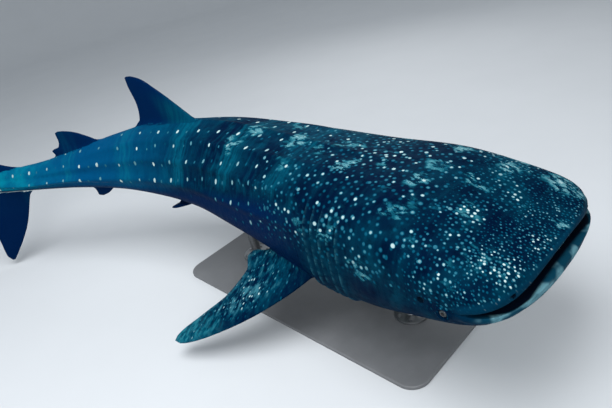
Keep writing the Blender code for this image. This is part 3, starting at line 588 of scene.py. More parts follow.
PECTORAL_FRONT = [(-0.12, -0.02), (0.0, 0.0), (0.12, 0.02), (0.45, 0.135), (0.80, 0.36), (0.97, 0.56),
                  (1.0, 0.63)]
PECTORAL_REAR = [(-0.12, 0.50), (-0.02, 0.56), (0.03, 0.71), (0.08, 0.72), (0.22, 0.60), (0.45, 0.575),
                 (0.72, 0.655), (0.95, 0.74), (1.0, 0.72)]
PELVIC_ROOT, PELVIC_REACH, PELVIC_DROOP, PELVIC_SWEEP = (2.72, 0.16, -0.185), 0.20, 4.0, 44.0
PELVIC_FRONT = [(-0.5, -0.10), (0.0, 0.0), (0.5, 0.12), (0.9, 0.30), (1.0, 0.42)]
PELVIC_REAR = [(-0.5, 0.95), (0.0, 1.0), (0.25, 1.02), (0.45, 0.88), (0.88, 0.72), (1.0, 0.58)]


def wing(share):
    """Thickness from the round front edge of a fin to its thin rear edge, 1 at its thickest."""
    return 2.6 * np.sqrt(share) * (1 - share)


def fin(name, front, rear, place, thick, tip, flare, flare_reach, kind, rows=44, columns=22, scale=1.0):
    """Closed fin between two outline curves, laid in place by a function of (height, distance, half)."""
    low, high = front[0][0], front[-1][0]
    share = np.linspace(0, 1, rows)
    if low < -0.5 and scale == 1.0:
        heights = (low + high) / 2 - (high - low) / 2 * np.cos(np.pi * share)
    else:
        heights = low + (high - low) * np.sin(share * np.pi / 2)
    start, end = smooth_through(front, heights)[:, None], smooth_through(rear, heights)[:, None]
    across = (1 - np.cos(np.linspace(0, np.pi, columns)))[None] / 2
    s = start + (end - start) * across
    reach = np.clip(np.abs(heights) / high, 0, 1)[:, None]
    last = high if low > -0.5 or scale != 1.0 else np.where(heights > 0, high, -low)[:, None]
    part = np.clip(np.abs(heights)[:, None] / last, 0, 1)
    half = (thick + (tip - thick) * part) * wing(across) / 2
    spread = flare * np.exp(-np.clip(heights, 0, None)[:, None] / flare_reach) * (1 - 0.7 * across)
    half = half + spread * np.sqrt(np.clip(np.sin(np.pi * across), 0, 1)) / 2
    half = np.maximum(half, 0.0011 * np.sqrt(np.clip(np.sin(np.pi * across), 0, 1)))
    half = half * np.sqrt(np.clip(1 - part**24, 0, 1))
    hide = Hide()
    h = heights[:, None] + 0 * s
    sheets = []
    for face in (1, -1):
        points = place(h, s, face * half)
        index = hide.add(points, reach=reach + 0 * s, chord=across + 0 * s, kind=kind, girth=h)
        if face < 0:
            index[:, 0], index[:, -1], index[-1] = sheets[0][:, 0], sheets[0][:, -1], sheets[0][-1]
            if low < -0.5 and scale == 1.0:
                index[0] = sheets[0][0]
        sheets.append(index)
        size = np.array([np.ptp(s), np.ptp(h)]) * MAP_SCALE * scale
        corner = map_room(*size)
        where = np.stack([corner[0] + (s - s.min()) * MAP_SCALE * scale,
                          corner[1] + (h - h.min()) * MAP_SCALE * scale], 2)
        hide.patch(index, where)
    if not (low < -0.5 and scale == 1.0):
        cap = np.stack([sheets[0][0], sheets[1][0]])
        corner = map_room(0.02, 0.004)
        where = np.stack([corner[0] + across * 0.02 + np.zeros((2, 1)),
                          corner[1] + np.array([[0.0], [0.004]]) + 0 * across], 2)
        hide.patch(cap, where)
    hide_sources.append(hide)
    return hide.mesh(name)


def upright(root, sign, level):
    """Places a fin that stands in the middle plane: its height is counted from a level of the body."""
    def place(h, s, w):
        return np.stack([s + root, w, level + sign * h], 2)
    return place


def paired(root, reach, droop, sweep, side):
    """Places a fin drawn flat at its root on one flank, drooped and swept back."""
    turn, fall = math.radians(sweep), math.radians(droop)

    def place(u, v, w):
        out, back = u * reach, v * reach
        out, back = out * math.cos(turn), back + out * math.sin(turn)
        y = out * math.cos(fall) + w * math.sin(fall)
        z = -out * math.sin(fall) + w * math.cos(fall)
        return np.stack([root[0] + back, side * (root[1] + y), root[2] + z], 2)
    return place


# %% Draw the eight fins
KIND_DORSAL, KIND_CAUDAL, KIND_PECTORAL, KIND_PELVIC = 5, 6, 7, 8
fins = [
    fin("first_dorsal", FIRST_DORSAL_FRONT, FIRST_DORSAL_REAR,
        upright(FIRST_DORSAL, 1, station(BACK, FIRST_DORSAL) - 0.03), 0.060, 0.010, 0.072, 0.052,
        KIND_DORSAL, rows=48, columns=30),
    fin("second_dorsal", SECOND_DORSAL_FRONT, SECOND_DORSAL_REAR,
        upright(SECOND_DORSAL, 1, station(BACK, SECOND_DORSAL + 0.15) - 0.005), 0.034, 0.010, 0.041, 0.023,
        KIND_DORSAL, rows=32, columns=26),
    fin("anal", ANAL_FRONT, ANAL_REAR, upright(ANAL, -1, station(BELLY, ANAL + 0.15) + 0.005),
        0.030, 0.010, 0.036, 0.015, KIND_PELVIC, rows=28, columns=20),
    fin("caudal", CAUDAL_FRONT, CAUDAL_REAR, upright(0.0, 1, 0.0), 0.052, 0.012, 0.0, 1.0,
        KIND_CAUDAL, rows=110, columns=30),
]
for side in (1, -1):
    fins.append(fin("pectoral", PECTORAL_FRONT, PECTORAL_REAR,
                    paired(PECTORAL_ROOT, PECTORAL_REACH, PECTORAL_DROOP, PECTORAL_SWEEP, side),
                    0.072, 0.010, 0.072, 0.075, KIND_PECTORAL, rows=64, columns=36, scale=PECTORAL_REACH))
    fins.append(fin("pelvic", PELVIC_FRONT, PELVIC_REAR,
                    paired(PELVIC_ROOT, PELVIC_REACH, PELVIC_DROOP, PELVIC_SWEEP, side),
                    0.028, 0.010, 0.028, 0.075, KIND_PELVIC, rows=30, columns=20, scale=PELVIC_REACH))

# %% [markdown]
# ## Eyes, nostrils and spiracles
# The eye is small and sits low on the side of the head, in a raised ring of skin. Behind it is the
# spiracle, a little breathing hole, and on the upper lip are the nostrils, each under a flap.
# These are shapes of their own that are joined to the skin or cut out of it, as a modeller would
# add and carve clay.

# %% Small forms of the head
EYE = (0.335, -7.0, 0.024)
EYE_PROUD = 0.008
ORBIT_RADIUS, ORBIT_ROLL, ORBIT_SUNK = 0.030, 0.009, 0.003
SPIRACLE = (0.445, 4.0, 0.016)
NOSTRIL_PLACE = 0.68
NOSTRIL_FLAP, NOSTRIL_GROOVE, NOSTRIL_APART = (0.013, 0.024, 0.012), (0.022, 0.009, 0.010), 0.030


def on_skin(s, lift, side=1, out=0.0):
    """Straight-drawn point of the body at degrees above the widest line, on the left (1) or right (-1)."""
    y, z = skin(np.array([s]), np.array([float(lift)]), out)
    return np.array([s, side * y[0], z[0]])


def eye_centre(side):
    """Centre of the eyeball, drawn straight."""
    s, lift, size = EYE
    return on_skin(s, lift, side, out=EYE_PROUD - size)


def nostril_centre(side):
    """On the front of the upper lip, part of the way out to its corner."""
    s = float(snout_place(NOSTRIL_PLACE))
    y = side * NOSTRIL_PLACE * float(station(HALF, s))
    at = np.array([s])
    return np.array([s + 0.012, y, float(mouth_edge(at, at, 1)[0]) + 0.014])


def round_form(name, centre, radii, kind, rows=20, columns=32):
    """Egg-shaped form with its own three radii, drawn straight and bent with the body."""
    hide = Hide()
    down = np.linspace(0, np.pi, rows + 1)[:, None]
    turn = np.linspace(0, 2 * np.pi, columns + 1)[None]
    points = np.stack([np.sin(down) * np.cos(turn), np.cos(down) + 0 * turn, np.sin(down) * np.sin(turn)], 2)
    index = hide.add(points * radii + centre, kind=kind)
    index[:, -1] = index[:, 0]
    index[0], index[-1] = index[0, 0], index[-1, 0]
    corner = map_room(0.012, 0.008)
    where = np.stack([corner[0] + turn / 6.3 * 0.012 + 0 * down, corner[1] + down / 3.2 * 0.008 + 0 * turn], 2)
    hide.patch(index, where)
    hide_sources.append(hide)
    return hide.mesh(name)


def orbit(side, rows=48, columns=14):
    """Raised ring of skin round the eye."""
    centre = on_skin(*EYE[:2], side, out=-ORBIT_SUNK)
    hide = Hide()
    turn = np.linspace(0, 2 * np.pi, rows + 1)[:, None]
    roll = np.linspace(0, 2 * np.pi, columns + 1)[None]
    reach = ORBIT_RADIUS + ORBIT_ROLL * np.cos(roll)
    points = np.stack([reach * np.cos(turn), side * ORBIT_ROLL * np.sin(roll) + 0 * turn, reach * np.sin(turn)], 2)
    index = hide.add(points + centre, kind=4)
    index[:, -1] = index[:, 0]
    index[-1] = index[0]
    corner = map_room(0.03, 0.008)
    where = np.stack([corner[0] + turn / 6.3 * 0.03 + 0 * roll, corner[1] + roll / 6.3 * 0.008 + 0 * turn], 2)
    hide.patch(index, where)
    hide_sources.append(hide)
    return hide.mesh("orbit")


KIND_ORBIT, KIND_HOLE = 4, 9
added = [orbit(side) for side in (1, -1)]
added += [round_form("flap", nostril_centre(side), NOSTRIL_FLAP, KIND_ORBIT) for side in (1, -1)]
carved = []
for side in (1, -1):
    carved.append(round_form("socket", eye_centre(side), (EYE[2] + 0.0008,) * 3, KIND_HOLE))
    carved.append(round_form("spiracle", on_skin(*SPIRACLE[:2], side), (SPIRACLE[2],) * 3, KIND_HOLE))
    groove = nostril_centre(side) + (0.0, side * NOSTRIL_APART, 0.0)
    carved.append(round_form("groove", groove, NOSTRIL_GROOVE, KIND_HOLE))

# %% [markdown]
# ## One skin over everything
# The body, the fins and the small forms are joined with Boolean modifiers. What a Boolean leaves
# is a hard crease where two shapes meet, and a living animal has none, so the points near each
# crease are averaged with their neighbours a few times. That rounds the root of every fin.

# %% Join and soften
SMOOTH_ROOTS = [(0.045, 6), (0.028, 8), (0.014, 6)]
SMOOTH_SMALL = [(0.006, 4)]
KIND = Hide.FACTS.index("kind")


def joined(target, others, how):
    """Joins or cuts the target with each of the others, which are then removed."""
    for other in others:
        change = target.modifiers.new(how, "BOOLEAN")
        change.operation = how
        change.solver = "MANIFOLD"
        change.object = other
        found = bpy.context.evaluated_depsgraph_get()
        mesh = bpy.data.meshes.new_from_object(target.evaluated_get(found))
        target.modifiers.remove(change)
        target.data = mesh
        bpy.data.objects.remove(other, do_unlink=True)
    return target


def soften(target, groups):
    """Averages the points close to the places of each group, the closest ones most often."""
    shape = bmesh.new()
    shape.from_mesh(target.data)
    bmesh.ops.triangulate(shape, faces=shape.faces)
    for places, steps in groups:
        tree = search_tree(places)
        away = [(vert, tree.find(vert.co)[2]) for vert in shape.verts]
        for reach, times in steps:
            some = [vert for vert, distance in away if distance < reach]
            for _ in range(times):
                bmesh.ops.smooth_vert(shape, verts=some, factor=0.5, use_axis_x=True, use_axis_y=True,
                                      use_axis_z=True)
    shape.to_mesh(target.data)
    shape.free()


def search_tree(points):
    """Finds the nearest of many points quickly."""
    tree = KDTree(len(points))
    for i, place in enumerate(points):
        tree.insert(place, i)
    tree.balance()
    return tree


drawn = bend(np.concatenate([p for hide in hide_sources for p in hide.points]))
facts = np.concatenate([f for hide in hide_sources for f in hide.facts])
tree = search_tree(drawn)


def crease_places(target):
    """Places of the points that a Boolean made, away from every point that was drawn."""
    found = [vert.co.copy() for vert in target.data.vertices if tree.find(vert.co)[2] > 0.00002]
    return found


joined(body, fins, "UNION")
roots = crease_places(body)
joined(body, added, "UNION")
joined(body, carved, "DIFFERENCE")
old = {tuple(place) for place in roots}
small = [place for place in crease_places(body) if tuple(place) not in old]
print("points on creases: fins", len(roots), "head", len(small))
soften(body, [(roots, SMOOTH_ROOTS), (small, SMOOTH_SMALL)])
body.data.calc_loop_triangles()
print("points:", len(body.data.vertices), "triangles:", len(body.data.loop_triangles))

# %% [markdown]
# ## Telling the material where it is
# The spots of the real animal follow its body, so the material has to know how far back a point
# is, how far round, whether it lies on a fin, and so on. Each of those is stored on the mesh as an
# attribute, which a material reads by name. The facts come from the nearest point that was drawn,
# and the place in the straight drawing comes from bending the finished mesh back.

# %% Attributes for the material
COLUMN_PITCH = [(0.0, 0.15), (1.2, 0.17), (2.2, 0.20), (2.6, 0.215), (3.3, 0.225), (3.7, 0.25), (4.2, 0.19), (6.0, 0.18)]
COLUMN_MARK = 2.80
ROW_LINE = [(0.0, 0.40), (1.2, 0.42), (1.75, 0.452), (2.37, 0.505), (2.8, 0.523), (3.27, 0.496), (3.79, 0.367),
            (4.35, 0.244), (6.0, 0.15)]
ROW_PITCH = 0.132


def store(mesh, name, values, kind="FLOAT"):
    """One value or one vector for each point, under a name."""
    layer = mesh.attributes.new(name, kind, "POINT")
    layer.data.foreach_set("vector" if kind == "FLOAT_VECTOR" else "value", np.asarray(values, float).ravel())


def read_points(mesh):
    """All points of a mesh as one array."""
    flat = np.zeros(len(mesh.vertices) * 3)
    mesh.vertices.foreach_get("co", flat)
    return flat.reshape(-1, 3)


def flap_edge(s, lift):
    """How near a point is to the rear edge of a gill flap, on the flap itself."""
    near = 0 * s
    for slit in GILL_SLITS:
        behind = s + GILL_LEAN * (lift + 10) - slit
        near = np.maximum(near, np.where(behind <= 0.001, np.exp(-((behind / 0.012) ** 2)), 0.0))
    return near * smooth_through(GILL_REACH, lift)


places = read_points(body.data)
straight = unbend(places)
nearest = np.array([tree.find(place)[1] for place in places])
girth, lift, lip, reach, chord, kind, crest, gill = facts[nearest].T
outside = np.abs(facts[:, KIND]) == 1
plain_tree, plain_facts = search_tree(drawn[outside]), facts[outside]
for i in np.flatnonzero((kind == KIND_ORBIT) | (kind == KIND_HOLE)):
    girth[i], lift[i], lip[i] = plain_facts[plain_tree.find(places[i])[1], :3]
on_fin = (kind >= KIND_DORSAL) & (kind <= KIND_PELVIC)
pitch = smooth_through(COLUMN_PITCH, np.arange(0, 6, 0.01))
columns_passed = np.concatenate([[0], np.cumsum(0.01 / pitch)])[:-1]
columns_passed -= np.interp(COLUMN_MARK, np.arange(0, 6, 0.01), columns_passed)
inside = np.abs(kind) == 3
lip_share = (1 - smoothstep(0.032, 0.062, lip)) * (1 - smoothstep(MOUTH_DEPTH - 0.015, LIP_END[1], straight[:, 0]))
lip_share = np.where(np.isin(kind, (1, -1, KIND_ORBIT)), lip_share, 0.0)
store(body.data, "straight", straight, "FLOAT_VECTOR")
store(body.data, "girth", girth)
store(body.data, "lift", np.where(on_fin, 0.0, lift))
store(body.data, "column", np.interp(straight[:, 0], np.arange(0, 6, 0.01), columns_passed))
store(body.data, "row", (np.abs(girth) - smooth_through(ROW_LINE, straight[:, 0])) / ROW_PITCH)
store(body.data, "fin", on_fin)
store(body.data, "pectoral", kind == KIND_PECTORAL)
store(body.data, "reach", reach)
store(body.data, "chord", chord)
store(body.data, "crest", crest)
# how deep in a gill slit a point lies, where the skin takes painted shade
store(body.data, "gill", gill)
store(body.data, "flap", np.where(np.abs(kind) == 1, flap_edge(straight[:, 0], lift), 0.0))
eye_girth = np.abs(girth[np.abs(straight - on_skin(*EYE[:2])).sum(1).argmin()])
store(body.data, "eye_away", np.hypot(straight[:, 0] - EYE[0], np.abs(girth) - eye_girth))
# the small holes of the head, which take painted shade
store(body.data, "hole", kind == KIND_HOLE)
store(body.data, "lip", np.where(np.isin(kind, (1, KIND_ORBIT)), lip_share, 0.0))
store(body.data, "low_lip", np.where(kind == -1, lip_share, np.where(kind == -3, 1 - smoothstep(0.020, 0.034, lip), 0.0)))
# how far inside the mouth a point lies, where the skin takes painted shade
store(body.data, "mouth", np.where(inside, smoothstep(0.004, 0.02, lip), 0.0))
print("attributes:", [a.name for a in body.data.attributes if not a.name.startswith(".")])

# %% [markdown]
# ## A kit for writing materials
# A material is a net of small nodes. Written out one by one they fill pages, so these few
# functions add a node, feed it numbers or other nodes, and hand back its result. What the
# materials say stays readable that way.

# %% Short words for shader nodes
class Net:
    """Adds nodes to one material and links them as it goes."""

    def __init__(self, name):
        self.material = bpy.data.materials.new(name)
        self.material.use_nodes = True
        self.tree = self.material.node_tree
        self.shader = self.tree.nodes["Principled BSDF"]

    def feed(self, socket, value):
        """Gives a socket a number, a colour or another node's result."""
        if isinstance(value, bpy.types.NodeSocket):
            self.tree.links.new(value, socket)
        elif hasattr(value, "__len__") and socket.type == "RGBA":
            socket.default_value = (*value[:3], 1)
        else:
            socket.default_value = value

    def node(self, kind, out=0, options=None, **inputs):
        """A node of a kind, with its options and inputs by name or number."""
        made = self.tree.nodes.new(kind)
        for key, value in (options or {}).items():
            setattr(made, key, value)
        for key, value in inputs.items():
            socket = made.inputs[int(key[1:])] if key[1:].isdigit() else made.inputs[key.replace("_", " ")]
            self.feed(socket, value)
        return made.outputs[out]

    def math(self, how, a, b=0.0, c=0.0, clamp=False):
        return self.node("ShaderNodeMath", options={"operation": how, "use_clamp": clamp}, n0=a, n1=b, n2=c)

    def fact(self, name, out="Fac"):
        return self.node("ShaderNodeAttribute", out, {"attribute_name": name})

    def step(self, value, low, high, to_low=0.0, to_high=1.0):
        """Smooth change from one value to another between two limits."""
        return self.node("ShaderNodeMapRange", options={"interpolation_type": "SMOOTHSTEP"},
                         n0=value, n1=low, n2=high, n3=to_low, n4=to_high)

    def blend(self, share, a, b, how="MIX"):
        options = {"data_type": "RGBA", "blend_type": how, "clamp_factor": True}
        return self.node("ShaderNodeMix", 2, options, n0=share, n6=a, n7=b)

    def noise(self, vector, scale, detail=3.0, rough=0.5, seed=0.0, bent=0.0):
        options = {"noise_dimensions": "4D"}
        return self.node("ShaderNodeTexNoise", "Fac", options, Vector=vector, W=seed, Scale=scale,
                         Detail=detail, Roughness=rough, Distortion=bent)

    def wobble(self, vector, scale, size):
        """A small random shove in every direction, which takes the ruler out of a pattern."""
        push = self.node("ShaderNodeTexNoise", "Color", {"noise_dimensions": "4D"}, Vector=vector, W=9.0,
                         Scale=scale, Detail=2.0)
        push = self.node("ShaderNodeVectorMath", options={"operation": "SUBTRACT"}, n0=push, n1=(0.5, 0.5, 0.5))
        return self.node("ShaderNodeVectorMath", options={"operation": "MULTIPLY"}, n0=push, n1=(size, size, 0.0))

    def ramp(self, value, stops):
        """Colour that changes along a row of stops, each a value and its colour."""
        made = self.tree.nodes.new("ShaderNodeValToRGB")
        for i, (place, colour) in enumerate(stops):
            stops_made = made.color_ramp.elements
            stop = stops_made[i] if i < 2 else stops_made.new(place)
            stop.position, stop.color = place, (*colour, 1)
        self.feed(made.inputs[0], value)
        return made.outputs[0]

    def vector(self, x, y, z=0.0):
        return self.node("ShaderNodeCombineXYZ", n0=x, n1=y, n2=z)

    def bump(self, height, strength, distance, normal=None):
        made = self.tree.nodes.new("ShaderNodeBump")
        self.feed(made.inputs["Height"], height)
        made.inputs["Strength"].default_value = strength
        made.inputs["Distance"].default_value = distance
        if normal is not None:
            self.feed(made.inputs["Normal"], normal)
        return made.outputs[0]


# %% [markdown]
# ## The coat of spots
# On the back and flanks the spots are pale upright ovals in rows and columns, about a hand's width
# apart, with a faint pale bar at every third column. On the head they are small, round and
# crowded. A Voronoi texture with little randomness gives the rows, and with more randomness gives
# the crowd. Both are drawn in the body's own flat measures, distance back and distance round.

# %% Colours and places of the markings
NAVY, TEAL, DEEP = (0.0001, 0.0070, 0.0280), (0.0004, 0.052, 0.092), (0.0001, 0.0022, 0.0115)
DIM, HAZE, PALE, UNDER = (0.0020, 0.066, 0.118), (0.040, 0.175, 0.225), (0.50, 0.61, 0.59), (0.50, 0.56, 0.56)
# The first colour of the next line is painted shade for the lower flank of the trunk.
LOW_FLANK_SHADE, FAR_BLUE, FIN_BLUE = (0.0003, 0.0125, 0.056), (0.0004, 0.062, 0.170), (0.0002, 0.0125, 0.062)
# The last colour of the next line is painted shade, laid inside the mouth, the gill slits and the small holes.
LIP_TONE, LIP_PATCH, RECESS_SHADE = (0.0035, 0.042, 0.074), (0.11, 0.26, 0.31), (0.0015, 0.0042, 0.0110)
SPOT_TONES = [(0.0, TEAL), (0.26, DIM), (0.52, HAZE), (0.95, PALE)]
# The next tones colour the pale smudges, which are partly painted sunlight ripples and rim highlight.
SMUDGE_AND_SUN_RIPPLE_TONES = [(0.0, TEAL), (0.30, (0.0060, 0.105, 0.150)), (0.60, (0.070, 0.235, 0.280)), (1.0, (0.46, 0.60, 0.60))]
SPOT_SIZE, FAINT_SPOT_SIZE = (0.0118, 0.0168), (0.0085, 0.0120)
WISP_SIZE = (17.0, 38.0, 30.0)  # waves in a metre: back, across, up
# Crowded spots: distance apart, radius as a share of it, and where a layer begins and ends
CROWD_LAYERS = [
    (0.0190, 0.23, None, (0.20, 0.32)),
    (0.0275, 0.22, (0.20, 0.32), (0.46, 0.64)),
    (0.0460, 0.195, (0.46, 0.64), (1.40, 1.95)),
]
# Pale smudges, partly painted light, ripples of sunlight and the highlight on the lit rim of the head: distance back,
# distance round from the middle of the back, reach and strength
SMUDGES_AND_SUN_RIPPLES = [
    (0.970, -0.03, 0.10, 0.60), (0.726, 0.09, 0.10, 0.60), (0.726, -0.11, 0.10, 0.75), (0.497, 0.07, 0.09, 0.75),
    (0.412, 0.33, 0.13, 0.90), (0.177, 0.42, 0.20, 1.00), (1.077, 0.37, 0.12, 0.75), (0.701, 0.34, 0.12, 0.80),
    (0.429, 0.50, 0.13, 0.85), (0.709, -0.37, 0.08, 0.55), (0.420, -0.17, 0.07, 0.55), (0.060, 0.10, 0.09, 0.80),
    (0.046, -0.07, 0.06, 0.60), (0.429, -0.47, 0.05, 0.40), (0.335, -0.47, 0.05, 0.40), (2.151, -0.20, 0.12, 0.75),
    (2.089, -0.01, 0.16, 0.75), (1.655, -0.01, 0.14, 0.80), (1.469, -0.06, 0.10, 0.60), (1.186, -0.13, 0.12, 0.80),
    (1.593, -0.28, 0.08, 0.50), (1.300, 0.10, 0.16, 0.60), (1.067, -0.57, 0.08, 0.60), (0.828, -0.73, 0.10, 0.75),
    (1.280, -0.59, 0.09, 0.45), (0.285, -0.61, 0.06, 0.35), (1.85, 0.16, 0.14, 0.60),
]
# Where the spots stand brighter, and where they sink into the dark
BRIGHT = [
    (0.650, -0.27, 0.11, 0.75), (0.539, -0.22, 0.07, 0.70), (0.400, -0.16, 0.11, 0.95), (0.267, 0.06, 0.11, 0.60),
    (0.152, -0.35, 0.12, 1.00), (0.250, -0.37, 0.13, 0.95), (0.539, -0.49, 0.09, 0.80), (0.828, -0.73, 0.13, 1.00),
    (0.318, -0.56, 0.13, 0.60), (0.107, -0.10, 0.10, 0.60), (0.837, -0.22, 0.10, 0.50), (1.02, -0.50, 0.14, 0.60),
    (1.06, 0.10, 0.25, 0.55), (0.55, 0.45, 0.30, 0.60), (0.30, 0.62, 0.25, 0.70), (0.85, 0.62, 0.25, 0.70),
]
VOIDS = [
    (0.488, -0.36, 0.10, 0.90), (0.301, -0.10, 0.08, 0.85), (0.480, -0.03, 0.09, 0.80), (0.250, 0.24, 0.12, 0.75),
    (0.437, -0.55, 0.07, 0.85), (0.640, -0.56, 0.13, 0.90), (1.160, -0.40, 0.15, 0.80), (1.330, -0.39, 0.13, 0.85),
    (0.190, -0.48, 0.06, 0.60), (0.177, -0.14, 0.07, 0.60), (0.700, -0.44, 0.08, 0.70), (0.950, -0.32, 0.12, 0.90),
    (0.60, 0.20, 0.14, 0.70), (1.70, -0.25, 0.20, 0.60), (0.95, 0.45, 0.16, 0.70), (0.62, 0.64, 0.16, 0.80),
]


# %% Helpers for spots and patches
def dots(net, at, pitch, jitter, radius, soft, turn=0.0, swell=None):
    """Round spots about the points of a loose flat lattice, with a random number for each."""
    made = net.tree.nodes.new("ShaderNodeTexVoronoi")
    made.voronoi_dimensions = "2D"
    net.feed(made.inputs["Vector"], net.node("ShaderNodeMapping", Vector=at, Rotation=(0.0, 0.0, turn)))
    made.inputs["Scale"].default_value = 1 / pitch
    made.inputs["Randomness"].default_value = jitter
    cell = net.tree.nodes.new("ShaderNodeSeparateColor")
    net.feed(cell.inputs[0], made.outputs["Color"])
    size = net.math("MULTIPLY_ADD", cell.outputs[0], radius * 0.45, radius * 0.72)
    if swell is not None:
        size = net.math("MULTIPLY_ADD", swell, radius * 0.35, size)
    return net.step(net.math("SUBTRACT", size, made.outputs["Distance"]), -soft, soft), cell.outputs[1]


def row_spots(net, column, row, sizes, jitter, shift):
    """Upright ovals on the crossings of the rows and columns, with a random number for each."""
    at = net.vector(net.math("ADD", column, shift + jitter / 2), net.math("ADD", row, jitter / 2))
    made = net.tree.nodes.new("ShaderNodeTexVoronoi")
    made.voronoi_dimensions = "2D"
    net.feed(made.inputs["Vector"], at)
    made.inputs["Scale"].default_value = 1.0
    made.inputs["Randomness"].default_value = jitter
    cell = net.tree.nodes.new("ShaderNodeSeparateColor")
    net.feed(cell.inputs[0], made.outputs["Color"])
    away = net.node("ShaderNodeVectorMath", options={"operation": "SUBTRACT"}, n0=at, n1=made.outputs["Position"])
    scaled = net.node("ShaderNodeVectorMath", options={"operation": "MULTIPLY"},
                      n0=away, n1=(0.215 / sizes[0], ROW_PITCH / sizes[1], 0.0))
    length = net.node("ShaderNodeVectorMath", "Value", {"operation": "LENGTH"}, n0=scaled)
    size = net.math("MULTIPLY_ADD", cell.outputs[0], 0.45, 0.75)
    return net.step(net.math("SUBTRACT", size, length), -0.34, 0.34), cell.outputs[1]


def field(net, flat, places):
    """The strongest of several soft round patches."""
    total = 0.0
    for back, round_it, reach, strength in places:
        away = net.node("ShaderNodeVectorMath", "Value", {"operation": "DISTANCE"}, n0=flat, n1=(back, round_it, 0.0))
        total = net.math("MAXIMUM", total, net.step(away, reach, reach * 0.15, 0.0, strength))
    return total
